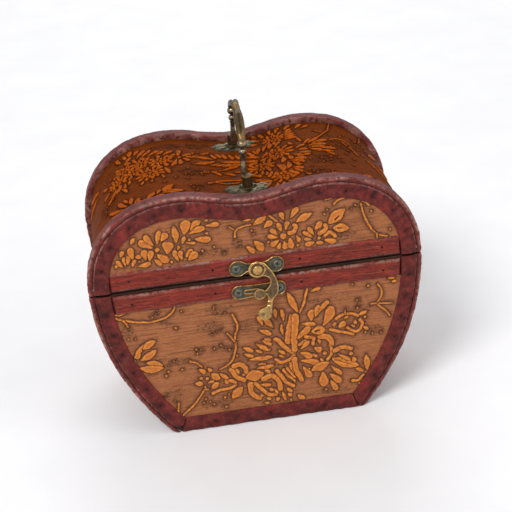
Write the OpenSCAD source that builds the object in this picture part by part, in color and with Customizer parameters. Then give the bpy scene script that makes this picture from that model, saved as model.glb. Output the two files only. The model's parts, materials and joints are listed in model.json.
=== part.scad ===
// Wind-up music box: a lobed, tapering wooden case with a hinged lid, embossed
// panels, leather-cloth bands, a brass hook latch and arched handle, and an
// 18-note cylinder movement with a butterfly key on the back.
// X is the width, Y points to the back, Z is up; the origin is on the ground
// under the middle of the case.

/* [Case] */
// Width over the side boards at the widest point
case_w = 164; // [150:1:180]
// Width over the side boards at the bottom
foot_w = 96; // [86:1:110]
// Height over the top board at the two lobes
case_h = 132; // [126:1:140]
// Height of the widest point
widest_z = 87.5; // [82:0.5:92]
// Half height of the ellipse that the tapering sides follow
taper_curve = 179; // [150:1:220]
// Distance of each lobe's top from the middle
lobe_x = 36.5; // [32:0.5:40]
// Depth of the dip between the lobes
dip_depth = 5.3; // [3:0.1:7]
// Roundness of the lobes: 1 is an ellipse, less is squarer
lobe_power = 0.91; // [0.85:0.01:1]
// Depth over the outer faces of the front and back boards
case_d = 91.2; // [84:0.2:100]
// Height of the middle of the joint between base and lid
split_z = 87; // [84:0.5:90]
// Open gap between base and lid
split_gap = 0.8; // [0.4:0.1:1.4]

/* [Boards] */
// Thickness of the front and back boards
board_t = 4.6; // [4:0.2:6]
// Thickness of the bent side and top boards
wall_t = 3.5; // [3:0.1:4.5]
// Thickness of the bottom board
bottom_t = 4; // [3:0.5:6]
// Thickness of the velvet lining
lining_t = 0.8; // [0.5:0.1:1.2]

/* [Covering] */
// Thickness of the embossed panels
panel_t = 1.2; // [0.8:0.1:1.6]
// Depth of the pockets in the bent boards that the side and top panels lie in
pocket_t = 1.4; // [0.8:0.1:1.8]
// Thickness of the bands on the faces
band_t = 1.4; // [1:0.1:2]
// Width of the bands on the faces
band_w = 8.3; // [7:0.1:10]
// Height of the band along the bottom
foot_band_h = 9.2; // [7:0.1:12]
// Thickness of the strips round the edges
strip_t = 2.8; // [2.2:0.1:3.4]
// Width of the strips round the edges
strip_w = 7; // [5:0.5:10]
// How far a strip's outer edge lies behind the band's face
strip_back = 0.6; // [0.2:0.1:1]
// Height of the wooden mouldings along the joint
moulding_h = 10; // [8:0.5:12]
// Thickness of the mouldings
moulding_t = 2.2; // [1.8:0.1:2.8]
// Distance of a moulding from the rim of its board
moulding_inset = 1.1; // [0.5:0.1:1.5]
// Distance of the last nail from the end of its band
nail_end = 4; // [3:0.5:6]
// Radius of a nail head
nail_r = 0.75; // [0.5:0.05:1]
// Height of a nail head above its band
nail_t = 0.25; // [0.15:0.05:0.4]
// Spacing of the nails
nail_pitch = 12; // [9:0.5:16]

/* [Latch] */
// Width of the latch plates
latch_w = 28; // [24:0.5:32]
// Height of the upper latch plate
latch_plate_h = 8.8; // [7.5:0.1:9.4]
// Height of the lower latch plate
catch_plate_h = 8; // [7.4:0.1:8.4]
// Thickness of the latch plates
plate_t = 1; // [0.8:0.1:1.2]
// Thickness of the hook
hook_t = 1.5; // [1.2:0.1:1.8]
// Gap between a plate and the hook in front of it
hook_gap = 0.6; // [0.45:0.05:0.8]
// Radius of the hook's rivet
rivet_r = 1.5; // [1.2:0.1:1.8]
// Radius of the hook's eye
hook_eye_r = 4.2; // [3.8:0.1:4.6]
// Radius of the catch's neck
catch_neck_r = 1.2; // [1:0.1:1.3]
// Radius of the catch's head
catch_head_r = 2.9; // [2.6:0.1:3.1]

/* [Hinges] */
// Distance of each hinge from the middle
hinge_x = 40; // [30:1:50]
// Length of a hinge
hinge_l = 20; // [16:1:24]
// Width of one hinge leaf
leaf_w = 9; // [8:0.2:10]
// Thickness of a hinge leaf
leaf_t = 0.9; // [0.7:0.1:1.1]
// Radius of a hinge knuckle
knuckle_r = 1.6; // [1.5:0.05:1.7]
// Radius of a hinge pin
pin_r = 0.8; // [0.7:0.05:0.9]

/* [Handle] */
// Distance between the middles of the handle's two posts
handle_span = 58; // [48:1:62]
// Height of the arch's middle above the dip in the lid
handle_rise = 32.9; // [30:0.1:42]
// Height above the dip at which the arch leaves its legs
handle_knee_rise = 22.6; // [20:0.1:28]
// Radius of the arch's rod
arch_r = 2.2; // [1.8:0.1:2.6]
// Radius of the two tight bends that join the arch to its legs
arch_bend_r = 6; // [4:0.5:8]
// Radius of the handle's legs
stem_r = 1.25; // [1.1:0.05:1.5]
// Radius of the eye at the foot of a leg
eye_r = 1.6; // [1.5:0.05:1.8]
// Thickness of a leg's flat foot
eye_t = 3; // [2.4:0.1:3.4]
// Height of a leg's flat foot above its eye
foot_h = 8.6; // [7:0.2:9.6]
// Radius of the handle's posts
post_r = 2.8; // [2.4:0.1:3.4]
// Height of the handle's posts
post_h = 7; // [6:0.1:8]
// Height of the pivots above the rosettes
pivot_rise = 4.2; // [3:0.1:4.6]
// Radius of the pivot pins
pivot_r = 0.8; // [0.6:0.05:0.9]
// Clearance between the handle and its posts
pivot_gap = 0.3; // [0.2:0.05:0.4]
// Length of a rosette, across the case
rosette_l = 25; // [20:0.5:28]
// Width of a rosette, along the case's depth
rosette_w = 13; // [11:0.5:15]
// Thickness of a rosette
rosette_t = 1.2; // [0.9:0.1:1.5]

/* [Movement] */
// Height of the winding arbor above the ground
arbor_z = 35; // [32:0.5:42]
// Width of the bedplate
bed_w = 54; // [52:0.5:58]
// Height of the bedplate
bed_h = 42; // [42:0.5:46]
// Thickness of the bedplate
bed_t = 2; // [1.8:0.1:2.4]
// Radius of the winding arbor
arbor_r = 2; // [1.8:0.1:2.1]
// Radius of the spring barrel
barrel_r = 10; // [9.8:0.1:10.4]
// Radius of the cylinder
cylinder_r = 6.5; // [6:0.1:6.6]
// Radius of the shafts in the gear train
shaft_r = 0.8; // [0.7:0.05:0.9]
// Number of notes on the comb
notes = 18; // [12:1:18]
// Gap between the comb's tips and the cylinder's pins
comb_gap = 0.15; // [0.1:0.05:0.3]
// Radial clearance of every shaft in its bearing
run_fit = 0.05; // [0.03:0.01:0.08]
// Thickness of the clear cover
cover_t = 1.2; // [1:0.1:1.6]
// Width of the butterfly key
key_w = 26; // [20:1:28]
// Length of the key
key_l = 22; // [19:0.5:25]
// Radius of the key's hub
key_hub_r = 3.2; // [2.8:0.1:3.6]
// Radius of the holes in the key's wings
key_hole_r = 1.8; // [1.2:0.1:2.4]
// Thickness of the key's wings
key_t = 1.8; // [1.4:0.1:2.4]
// Width of the batten in the lid that works the stop
block_w = 8; // [6:0.5:10]
// Height of that batten
block_h = 6; // [4:0.5:8]

/* [Hidden] */
$fn = 48;
far = 400;
half_w = case_w / 2;
dip_z = case_h - dip_depth;
base_top = split_z - split_gap / 2;
lid_foot = split_z + split_gap / 2;

// Depths of the layers, measured from the middle of the case
face_y = case_d / 2;
inner_y = face_y - board_t;
band_y = face_y + band_t;
panel_y = face_y + panel_t;
moulding_y = face_y + moulding_t;
strip_y = band_y - strip_back;
strip_in_y = strip_y - strip_w;
lining_y = inner_y - lining_t;

// Ellipse of the tapering sides
taper_end = asin(widest_z / taper_curve);
taper_w = (half_w - foot_w / 2) / (1 - cos(taper_end));
lobe_w = half_w - lobe_x;
lobe_h = case_h - widest_z;

// Latch
latch_plate_z = lid_foot + moulding_inset + moulding_h / 2 - 0.6;
catch_plate_z = base_top - moulding_inset - moulding_h / 2 - 1.1;
rivet_z = latch_plate_z - 0.9;
catch_z = catch_plate_z - 0.6;
hook_y = moulding_y + plate_t + hook_gap;
hook_face_y = hook_y + hook_t;
catch_head_y = hook_face_y + hook_gap;
catch_head_t = 1.2;
tab_out = 2.3;
rivet_head_t = 0.6;

// Hinges
hinge_y = moulding_y + leaf_t + 0.5;
knuckle_gap = 0.25;
mid_knuckle = hinge_l * 0.36;

// Screws
screw_r = 1.5;
screw_head_t = 0.35;
slot_w = 0.5;

// Handle
foot_y = handle_span / 2;
skin_out = panel_t - pocket_t;
top_skin_z = dip_z + skin_out;
handle_top_z = dip_z + handle_rise;
handle_knee_z = dip_z + handle_knee_rise;
bead_drop = 4;
eye_wall = 1;
pivot_z = top_skin_z + rosette_t + pivot_rise;
leg_y = foot_y - post_r - pivot_gap - eye_t / 2;
arch_rise = handle_top_z - handle_knee_z;
bend_y = leg_y - arch_bend_r;
arch_radius = (pow(bend_y, 2) + pow(arch_rise, 2) - pow(arch_bend_r, 2)) / (2 * (arch_rise - arch_bend_r));
arch_angle = asin(bend_y / (arch_radius - arch_bend_r));

// Movement, in a frame with u across, v up and h out of the back wall
bed_edge = 3;
barrel_u = barrel_r + bed_edge - bed_w / 2;
crown_teeth = 36;
pinion_teeth = 12;
wheel_teeth = 36;
worm_wheel_teeth = 24;
worm_starts = 2;
crown_r = barrel_r - 1.4;
crown_module = 2 * crown_r / crown_teeth;
crown_w = 1.2;
ratchet_h = bed_t + 0.4;
ratchet_t = 1.2;
ratchet_r = 5;
ratchet_teeth = 24;
ratchet_depth = 0.7;
barrel_h = ratchet_h + ratchet_t + 0.6;
barrel_wall = 0.8;
barrel_l = 6.2;
barrel_top = barrel_h + barrel_l;
tooth_h = 0.8;
mesh_slack = 0.06;
pitch_h = barrel_top + tooth_h / 2;
axis_h = pitch_h + crown_module * pinion_teeth / 2 + mesh_slack;
train_module = 0.4;
wheel_r = train_module * wheel_teeth / 2;
small_pinion_r = train_module * pinion_teeth / 2;
train_gap = wheel_r + small_pinion_r + mesh_slack;
train_slope = 27;
train_v = -train_gap * cos(train_slope);
train_h = axis_h - train_gap * sin(train_slope);
worm_module = 0.5;
worm_wheel_r = worm_module * worm_wheel_teeth / 2;
worm_pitch_r = 2.2;
worm_lead = worm_starts * PI * worm_module;
worm_v = train_v - worm_wheel_r - worm_pitch_r - mesh_slack;
worm_h = 3.6;
worm_l = 10;
fly_h = worm_h + worm_l + 2;
fly_l = 4.4;
fly_r = 4.2;

// Places along the shafts, from the bedplate's right edge back to the cylinder
side_gap = 0.4;
wheel_t = 1.2;
bearing_t = 0.8;
worm_wheel_t = 0.9;
frame_post_t = 1.6;
frame_post_u = bed_w / 2 - 0.95 - frame_post_t;
worm_u = frame_post_u - 2 * side_gap - fly_r;
worm_wheel_u = worm_u - worm_wheel_t / 2;
frame_bearing_u = worm_wheel_u + worm_wheel_t + 3 * side_gap;
right_bearing_u = worm_wheel_u - side_gap - bearing_t;
wheel_u = right_bearing_u - side_gap - wheel_t;
left_bearing_u = wheel_u - 2 * side_gap - bearing_t;
cylinder_end = left_bearing_u - 0.6;
cylinder_u = barrel_u + barrel_r + 1;
cylinder_l = cylinder_end - cylinder_u;
fly_top = fly_h + fly_l;
frame_top = fly_top + 1.2;
frame_foot_t = 0.6;
arm_w = 3.6;
arm_t = 1.2;
pin_out = 0.5;
comb_tip = cylinder_r + pin_out + comb_gap;
comb_t = 0.8;
comb_root = comb_tip + 7.5;
note_pitch = (cylinder_l - 0.8) / notes;
bridge_h = barrel_top + tooth_h + 0.5;
bridge_t = 1;
bridge_post_v = barrel_r + 2.4;
bridge_post_r = 1.6;
bridge_w = 5.2;
bridge_end = 2;
click_angle = -62;
click_r = 8.4;
cover_h = frame_top + 2;
key_gap = 2.5;
key_start = -(lining_t + board_t + panel_t) - key_gap;
key_hub_l = 10;
key_wing_drop = 2.5;
stop_u = worm_u - 9.5;
stop_v = worm_v - 2;
stop_arm = 8;
stop_arm_w = 1.8;
stop_h = frame_top + 0.4;
stop_t = 1;
rod_r = 0.6;
rod_u = stop_u - stop_arm;
rod_h = stop_h + stop_t / 2;
brake_r = 0.5;
brake_gap = 0.3;

// The movement's middle is set so that the arbor is in the middle of the back
bed_x = -barrel_u;

// ---------------------------------------------------------------- outline

// Right half of the outline, from below the ground up to the middle of the dip
function taper_points() = [
    for (i = [18:-1:1])
        let (t = (taper_end + 3) * i / 18)
        [half_w - taper_w + taper_w * cos(t), widest_z - taper_curve * sin(t)]
];
function lobe_points() = [
    for (i = [0:24])
        let (t = 90 * i / 24)
        [lobe_x + lobe_w * pow(cos(t), lobe_power), widest_z + lobe_h * pow(sin(t), lobe_power)]
];
function dip_rise(x) = dip_depth * (1 - cos(180 * x / lobe_x)) / 2;
function dip_points() = [
    for (i = [11:-1:0])
        let (x = lobe_x * i / 12)
        [x, dip_z + dip_rise(x)]
];
half_outline = concat(taper_points(), lobe_points(), dip_points());

// The half outline pushed outwards by d
function pushed(d) = [
    for (i = [0:len(half_outline) - 1])
        let (
            last = len(half_outline) - 1,
            along = half_outline[min(i + 1, last)] - half_outline[max(i - 1, 0)],
            out = [along[1], -along[0]] / norm(along)
        )
        i == last ? half_outline[i] + [0, d] : half_outline[i] + d * out
];

// The outline pushed outwards by d, between two heights
module outline(d, z0, z1) {
    right = pushed(d);
    left = [for (i = [len(right) - 2:-1:0]) [-right[i][0], right[i][1]]];
    intersection() {
        polygon(concat(right, left));
        translate([-far / 2, z0]) square([far, z1 - z0]);
    }
}

// Extrudes a front view from depth y0 to depth y1
module across(y0, y1) {
    translate([0, y1, 0]) rotate([90, 0, 0]) linear_extrude(y1 - y0) children();
}

// The children, and their mirror image on the back
module at_back() {
    mirror([0, 1, 0]) children();
}

module front_and_back() {
    children();
    at_back() children();
}

module right_half() {
    intersection() {
        children();
        square([far, far]);
    }
}

// Ring of the outline between two pushes
module ring(d_in, d_out, z0, z1) {
    difference() {
        outline(d_out, z0, z1);
        outline(d_in, z0 - 1, z1 + 1);
    }
}

// ---------------------------------------------------------------- case

module board(z0, z1) {
    across(-face_y, -inner_y) outline(0, z0, z1);
}

// Bent board with a pocket for its panel between the edge strips
module side_board() {
    across(-inner_y, inner_y) right_half() ring(-wall_t, -pocket_t, 0, base_top);
    front_and_back() across(-inner_y, -strip_in_y) right_half() ring(-pocket_t, 0, 0, base_top);
}

module side_panel() {
    across(-strip_in_y, strip_in_y) right_half() ring(-pocket_t, skin_out, 0, base_top);
}

// Face band with a softened outer edge
module face_band(z0, z1, open_z0, open_z1) {
    edge = band_t * 0.6;
    difference() {
        union() {
            across(-face_y - edge, -face_y) outline(0, z0, z1);
            across(-band_y, -face_y - edge) outline(-edge, z0, z1);
        }
        across(-band_y - 1, -face_y + 1) outline(-band_w, open_z0, open_z1);
    }
}

module edge_strips(z0, z1) {
    front_and_back() across(-strip_y, -strip_in_y) ring(0, strip_t, z0, z1);
}

module moulding(z0, z1) {
    round_t = moulding_t * 0.4;
    across(-moulding_y + round_t, -face_y) outline(-band_w - 0.4, z0, z1);
    across(-moulding_y, -moulding_y + round_t)
        outline(-band_w - 0.4 - round_t, z0 + round_t, z1 - round_t);
}

module face_panel(z0, z1) {
    across(-panel_y, -face_y) outline(-band_w - 0.1, z0, z1);
}

base_moulding_z0 = base_top - moulding_inset - moulding_h;
lid_moulding_z1 = lid_foot + moulding_inset + moulding_h;

// Running length along a list of points, up to each point
function run_length(pts, i) = i == 0 ? 0 : run_length(pts, i - 1) + norm(pts[i] - pts[i - 1]);

// Nails down the middle of a face band, nail_pitch apart, between two heights
module band_nails(z0, z1) {
    line = [for (p = pushed(-band_w / 2)) if (p[1] > z0 && p[1] < z1) p];
    total = run_length(line, len(line) - 1);
    count = max(2, floor(total / nail_pitch));
    for (k = [0:count - 1]) {
        s = total * (k + 0.5) / count;
        i = max([for (j = [0:len(line) - 2]) if (run_length(line, j) <= s) j]);
        f = (s - run_length(line, i)) / norm(line[i + 1] - line[i]);
        p = line[i] + f * (line[i + 1] - line[i]);
        for (side = [-1, 1]) nail([side * p[0], p[1]], band_y);
    }
}

module nail(at, y) {
    translate([at[0], -y, at[1]]) rotate([90, 0, 0]) cylinder(r = nail_r, h = nail_t, $fn = 16);
}

module row_nails(z, reach, y) {
    count = floor(2 * reach / nail_pitch / 2);
    for (k = [0:count - 1])
        nail([-reach + reach * (2 * k + 1) / count, z], y);
}

// ---------------------------------------------------------------- base

module base_front_board() {
    color("peru") board(0, base_top);
}

module base_back_board() {
    color("peru") difference() {
        at_back() board(0, base_top);
        back_hole(arbor_r + 1.2);
    }
}

// Clearance hole for the arbor through the back of the case
module back_hole(r) {
    translate([0, 0, arbor_z]) rotate([-90, 0, 0]) cylinder(r = r, h = face_y + 5);
}

module right_side_board() {
    color("burlywood") side_board();
}

module left_side_board() {
    color("burlywood") mirror([1, 0, 0]) side_board();
}

module bottom_board() {
    color("burlywood") across(-inner_y, inner_y) outline(-wall_t, 0, bottom_t);
}

module base_lining() {
    color("darkred") difference() {
        across(-inner_y, inner_y) outline(-wall_t, bottom_t, base_top);
        across(-lining_y, lining_y) outline(-wall_t - lining_t, bottom_t + lining_t, base_top + 1);
        back_hole(arbor_r + 1.2);
    }
}

module base_front_panel() {
    color("chocolate") face_panel(foot_band_h + 0.1, base_moulding_z0 - 0.1);
}

module base_back_panel() {
    color("chocolate") difference() {
        at_back() face_panel(foot_band_h + 0.1, base_moulding_z0 - 0.1);
        back_hole(arbor_r + 1.2);
    }
}

module side_panels() {
    color("sienna") {
        side_panel();
        mirror([1, 0, 0]) side_panel();
    }
}

module base_front_band() {
    color("maroon") face_band(0, base_top, foot_band_h, base_top + 1);
}

module base_back_band() {
    color("maroon") at_back() face_band(0, base_top, foot_band_h, base_top + 1);
}

module base_edge_strips() {
    color("brown") edge_strips(0, base_top);
}

module base_front_moulding() {
    color("firebrick") moulding(base_moulding_z0, base_top - moulding_inset);
}

module base_back_moulding() {
    color("firebrick") at_back() moulding(base_moulding_z0, base_top - moulding_inset);
}

module base_nails() {
    color("black") front_and_back() {
        band_nails(foot_band_h, base_top - nail_end);
        row_nails(foot_band_h / 2, foot_w / 2 - nail_end, band_y);
        moulding_nails(base_moulding_z0 + moulding_h / 2);
    }
}

// Nails at both ends of a moulding, clear of the latch and the hinges
module moulding_nails(z) {
    for (x = [-half_w + 18, -hinge_x + 18, hinge_x - 18, half_w - 18]) nail([x, z], moulding_y);
}

// ---------------------------------------------------------------- lid

module lid_front_board() {
    color("peru") board(lid_foot, far);
}

module lid_back_board() {
    color("peru") at_back() board(lid_foot, far);
}

module lid_top_board() {
    color("burlywood") {
        across(-inner_y, inner_y) ring(-wall_t, -pocket_t, lid_foot, far);
        front_and_back() across(-inner_y, -strip_in_y) ring(-pocket_t, 0, lid_foot, far);
    }
}

module lid_lining() {
    color("darkred") difference() {
        across(-inner_y, inner_y) outline(-wall_t, lid_foot, far);
        across(-lining_y, lining_y) outline(-wall_t - lining_t, lid_foot - 1, far);
    }
}

module lid_front_panel() {
    color("chocolate") face_panel(lid_moulding_z1 + 0.1, far);
}

module lid_back_panel() {
    color("chocolate") at_back() face_panel(lid_moulding_z1 + 0.1, far);
}

module lid_top_panel() {
    color("sienna") across(-strip_in_y, strip_in_y) ring(-pocket_t, skin_out, lid_foot, far);
}

module lid_front_band() {
    color("maroon") face_band(lid_foot, far, lid_foot - 1, far);
}

module lid_back_band() {
    color("maroon") at_back() face_band(lid_foot, far, lid_foot - 1, far);
}

module lid_edge_strips() {
    color("brown") edge_strips(lid_foot, far);
}

module lid_front_moulding() {
    color("firebrick") moulding(lid_foot + moulding_inset, lid_moulding_z1);
}

module lid_back_moulding() {
    color("firebrick") at_back() moulding(lid_foot + moulding_inset, lid_moulding_z1);
}

module lid_nails() {
    color("black") front_and_back() {
        band_nails(lid_foot + nail_end, far);
        moulding_nails(lid_moulding_z1 - moulding_h / 2);
    }
}

// ---------------------------------------------------------------- screws

// Domed screw head with a crossed slot, on a surface facing -Y at depth y
module screw_head(x, y, z) {
    translate([x, -y, z]) rotate([90, 0, 0]) difference() {
        cylinder(r = screw_r, h = screw_head_t, $fn = 24);
        for (turn = [0, 90])
            rotate(turn + 20) translate([-screw_r * 0.6, -slot_w / 2, screw_head_t / 2])
                cube([screw_r * 1.2, slot_w, screw_head_t]);
    }
}

latch_screw_x = latch_w / 2 - 3.6;
leaf_screw_x = hinge_l / 2 - 4;
leaf_screw_z = 5.6;

module base_screws() {
    color("darkgoldenrod") {
        for (side = [-1, 1]) screw_head(side * latch_screw_x, moulding_y + plate_t, catch_plate_z);
        hinge_screws(split_z - leaf_screw_z);
    }
}

module lid_screws() {
    color("darkgoldenrod") {
        for (side = [-1, 1]) screw_head(side * latch_screw_x, moulding_y + plate_t, latch_plate_z);
        hinge_screws(split_z + leaf_screw_z);
    }
}

module hinge_screws(z) {
    at_back() for (hinge = [-1, 1], side = [-1, 1])
        screw_head(hinge * hinge_x + side * leaf_screw_x, moulding_y + leaf_t, z);
}

// ---------------------------------------------------------------- latch

// Plate with round ends and a narrower waist
module latch_plate_shape(h) {
    end_x = latch_w / 2 - h / 2;
    difference() {
        union() {
            for (side = [-1, 1]) translate([side * end_x, 0]) circle(r = h / 2);
            translate([-end_x, -h * 0.4]) square([2 * end_x, h * 0.8]);
        }
        for (side = [-1, 1]) translate([side * latch_screw_x, 0]) circle(r = screw_r * 0.4, $fn = 24);
    }
}

module latch_plate() {
    color("goldenrod") across(-moulding_y - plate_t, -moulding_y)
        translate([0, latch_plate_z]) latch_plate_shape(latch_plate_h);
}

module catch_plate() {
    color("goldenrod") across(-moulding_y - plate_t, -moulding_y)
        translate([0, catch_plate_z]) latch_plate_shape(catch_plate_h);
}

module catch_post() {
    color("darkgoldenrod") translate([0, -moulding_y - plate_t, catch_z]) rotate([90, 0, 0])
        rotate_extrude() polygon([
            [0, 0], [catch_neck_r, 0], [catch_neck_r, catch_head_y - moulding_y - plate_t],
            [catch_head_r, catch_head_y - moulding_y - plate_t],
            [catch_head_r * 0.7, catch_head_y - moulding_y - plate_t + catch_head_t],
            [0, catch_head_y - moulding_y - plate_t + catch_head_t]
        ]);
}

module latch_rivet() {
    reach = hook_face_y + 0.3 - moulding_y - plate_t;
    color("darkgoldenrod") translate([0, -moulding_y - plate_t, rivet_z]) rotate([90, 0, 0])
        rotate_extrude() polygon([
            [0, 0], [rivet_r, 0], [rivet_r, reach], [rivet_r + 0.8, reach],
            [rivet_r + 0.3, reach + rivet_head_t], [0, reach + rivet_head_t]
        ]);
}

// Smooth closed curve through the points of p, with n steps between two points
function smooth_loop(p, n) = [
    for (i = [0:len(p) - 1], k = [0:n - 1])
        let (
            m = len(p), t = k / n,
            a = p[(i + m - 1) % m], b = p[i], c = p[(i + 1) % m], d = p[(i + 2) % m]
        )
        b + (c - a) * t / 2 + (2 * a - 5 * b + 4 * c - d) * t * t / 2
            + (3 * b - a - 3 * c + d) * t * t * t / 2
];

// Outline of the hook about its rivet, clockwise from the top of the eye: the bowed
// arm, the drop-shaped finger tab and the beak that reaches behind the catch's head
beak_x = catch_neck_r + 0.5;
tab_bend_z = -19.2;
hook_points = [
    [0, hook_eye_r], [3.1, 3.3], [5.4, 0.9], [7.6, -2.6], [9.2, -6.6], [9.8, -10.8], [9.2, -14.6],
    [7.2, -16.8], [6, -19.4], [5.2, -23], [3.4, -26.4], [0.9, -27.8], [-1.2, -26.2], [-1.9, -23.4],
    [-0.4, -21.2], [2.2, -20.4], [3.6, -18.8], [4.1, -16.6], [3.4, -14.6],
    [beak_x, catch_z - rivet_z - 0.2], [3.8, -11.7], [5.5, -9.4], [5.9, -6.8], [4.9, -4.6],
    [2.4, -3.9], [-0.6, -hook_eye_r], [-3.4, -2.6], [-hook_eye_r, 0], [-2.9, 3]
];

module hook_shape() {
    difference() {
        polygon(smooth_loop(hook_points, 4));
        circle(r = rivet_r + run_fit);
    }
}

// The arm lies just in front of the plates, and the finger tab is set further out,
// so that it passes in front of the catch's head
module latch_hook() {
    color("goldenrod") translate([0, 0, rivet_z]) {
        across(-hook_face_y, -hook_y) hook_part(tab_bend_z, far);
        across(-hook_face_y - tab_out, -hook_y) hook_part(tab_bend_z, tab_bend_z + hook_t);
        across(-hook_face_y - tab_out, -hook_y - tab_out) hook_part(-far, tab_bend_z + hook_t);
    }
}

// The hook between two heights
module hook_part(z0, z1) {
    intersection() {
        hook_shape();
        translate([-far / 2, z0]) square([far, z1 - z0]);
    }
}

// ---------------------------------------------------------------- hinges

module knuckle(x0, x1, bore) {
    translate([x0, hinge_y, split_z]) rotate([0, 90, 0]) difference() {
        cylinder(r = knuckle_r, h = x1 - x0);
        translate([0, 0, -1]) cylinder(r = bore, h = x1 - x0 + 2);
    }
}

// One leaf against the back, from the knuckle's line out to leaf_w; up is 1 or -1
module leaf(x0, x1, up, start) {
    z_far = split_z + up * leaf_w;
    z_near = split_z + up * start;
    translate([x0, moulding_y, min(z_far, z_near)]) cube([x1 - x0, leaf_t, leaf_w - start]);
}

module leaf_holes(z) {
    for (side = [-1, 1])
        translate([side * leaf_screw_x, moulding_y - 1, z]) rotate([-90, 0, 0])
            cylinder(r = screw_r * 0.4, h = leaf_t + 2, $fn = 24);
}

module lower_hinge_leaf() {
    edge = mid_knuckle / 2 + knuckle_gap;
    difference() {
        union() {
            leaf(-hinge_l / 2, hinge_l / 2, -1, knuckle_r + knuckle_gap);
            for (side = [-1, 1]) {
                x0 = side > 0 ? edge : -hinge_l / 2;
                x1 = side > 0 ? hinge_l / 2 : -edge;
                knuckle(x0, x1, pin_r);
                leaf_root(x0, x1, -1);
            }
        }
        leaf_holes(split_z - leaf_screw_z);
    }
}

// The part of a leaf that curls into its own knuckle
module leaf_root(x0, x1, up) {
    difference() {
        leaf(x0, x1, up, 0.3);
        translate([x0 - 1, hinge_y, split_z]) rotate([0, 90, 0])
            cylinder(r = pin_r + run_fit, h = x1 - x0 + 2);
    }
}

module upper_hinge_leaf() {
    difference() {
        union() {
            leaf(-hinge_l / 2, hinge_l / 2, 1, knuckle_r + knuckle_gap);
            knuckle(-mid_knuckle / 2, mid_knuckle / 2, pin_r + run_fit);
            leaf_root(-mid_knuckle / 2, mid_knuckle / 2, 1);
        }
        leaf_holes(split_z + leaf_screw_z);
    }
}

module lower_hinge_leaves() {
    color("goldenrod") for (side = [-1, 1]) translate([side * hinge_x, 0, 0]) lower_hinge_leaf();
}

module upper_hinge_leaves() {
    color("goldenrod") for (side = [-1, 1]) translate([side * hinge_x, 0, 0]) upper_hinge_leaf();
}

module hinge_pins() {
    color("darkgoldenrod") for (side = [-1, 1])
        translate([side * hinge_x - hinge_l / 2 - 0.4, hinge_y, split_z]) rotate([0, 90, 0])
            cylinder(r = pin_r, h = hinge_l + 0.8);
}

// ---------------------------------------------------------------- handle

// Plan of a rosette: an oval with a scalloped edge
module rosette_plan() {
    polygon([
        for (i = [0:71])
            let (a = i * 5, wave = 1 + 0.07 * cos(10 * a))
            [rosette_l / 2.14 * wave * cos(a), rosette_w / 2.14 * wave * sin(a)]
    ]);
}

module handle_rosettes() {
    color("darkgoldenrod") for (side = [-1, 1]) intersection() {
        translate([0, side * foot_y, lid_foot]) linear_extrude(far) rosette_plan();
        across(-far, far) ring(skin_out, skin_out + rosette_t, lid_foot, far);
    }
}

// Turned posts, each with a pin towards the middle on which the handle swings
module handle_posts() {
    color("goldenrod") for (side = [-1, 1]) translate([0, side * foot_y, 0]) {
        translate([0, 0, top_skin_z + rosette_t]) rotate_extrude() polygon([
            [0, 0.25], [post_r, 0.25], [post_r, post_h - 0.8], [post_r - 0.6, post_h], [0, post_h]
        ]);
        translate([0, -side * post_r / 2, pivot_z]) rotate([side * 90, 0, 0])
            cylinder(r = pivot_r, h = post_r / 2 + pivot_gap + eye_t - eye_wall);
    }
}

// A swinging handle: an arch of three bends on two legs, each with two beads and a flat foot
module handle_arch() {
    color("goldenrod") {
        for (side = [0, 1]) mirror([0, side, 0]) {
            difference() {
                translate([0, leg_y + eye_t / 2, 0]) rotate([90, 0, 0]) linear_extrude(eye_t) hull() {
                    translate([0, pivot_z]) circle(r = eye_r);
                    translate([0, pivot_z + foot_h]) circle(r = stem_r);
                }
                translate([0, leg_y + eye_t, pivot_z]) rotate([90, 0, 0])
                    cylinder(r = pivot_r + pivot_gap, h = 1.5 * eye_t - eye_wall + pivot_gap);
            }
            translate([0, leg_y, pivot_z + foot_h]) cylinder(r = stem_r, h = handle_knee_z - pivot_z - foot_h);
            translate([0, leg_y, handle_knee_z - bead_drop]) sphere(r = stem_r + 0.8, $fn = 32);
            translate([0, leg_y, handle_knee_z]) sphere(r = arch_r + 0.5, $fn = 32);
            translate([0, bend_y, handle_knee_z])
                bent_rod(arch_bend_r, arch_angle, 90);
            translate([0, bend_y + arch_bend_r * sin(arch_angle), handle_knee_z + arch_bend_r * cos(arch_angle)])
                sphere(r = arch_r + 0.1, $fn = 32);
        }
        translate([0, 0, handle_top_z - arch_radius]) bent_rod(arch_radius, -arch_angle, arch_angle);
    }
}

// Round rod bent in the YZ plane between two angles from straight up
module bent_rod(radius, from, to) {
    rotate([0, -90, 0]) rotate(from) rotate_extrude(angle = to - from, $fn = 160)
        translate([radius, 0]) circle(r = arch_r, $fn = 32);
}

// ---------------------------------------------------------------- movement

// Frame of the movement on the inside of the back wall
module on_back_wall() {
    translate([bed_x, lining_y, arbor_z]) rotate([90, 0, 0]) children();
}

// Places children along u, at height h and offset v, with their z axis along u
module along_u(u, v, h) {
    translate([u, v, h]) rotate([0, 90, 0]) children();
}

function polar(r, a) = r * [cos(a), sin(a)];

// Straight-sided gear: a tip is narrower than a root
module gear_shape(teeth, module_size, phase = 0) {
    r_tip = module_size * (teeth / 2 + 0.7);
    r_root = module_size * (teeth / 2 - 1.15);
    step = 360 / teeth;
    polygon([
        for (i = [0:teeth - 1], k = [0:3])
            let (
                a = step * (i + [-0.27, -0.12, 0.12, 0.27][k]) + phase,
                r = [r_root, r_tip, r_tip, r_root][k]
            )
            polar(r, a)
    ]);
}

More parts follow.
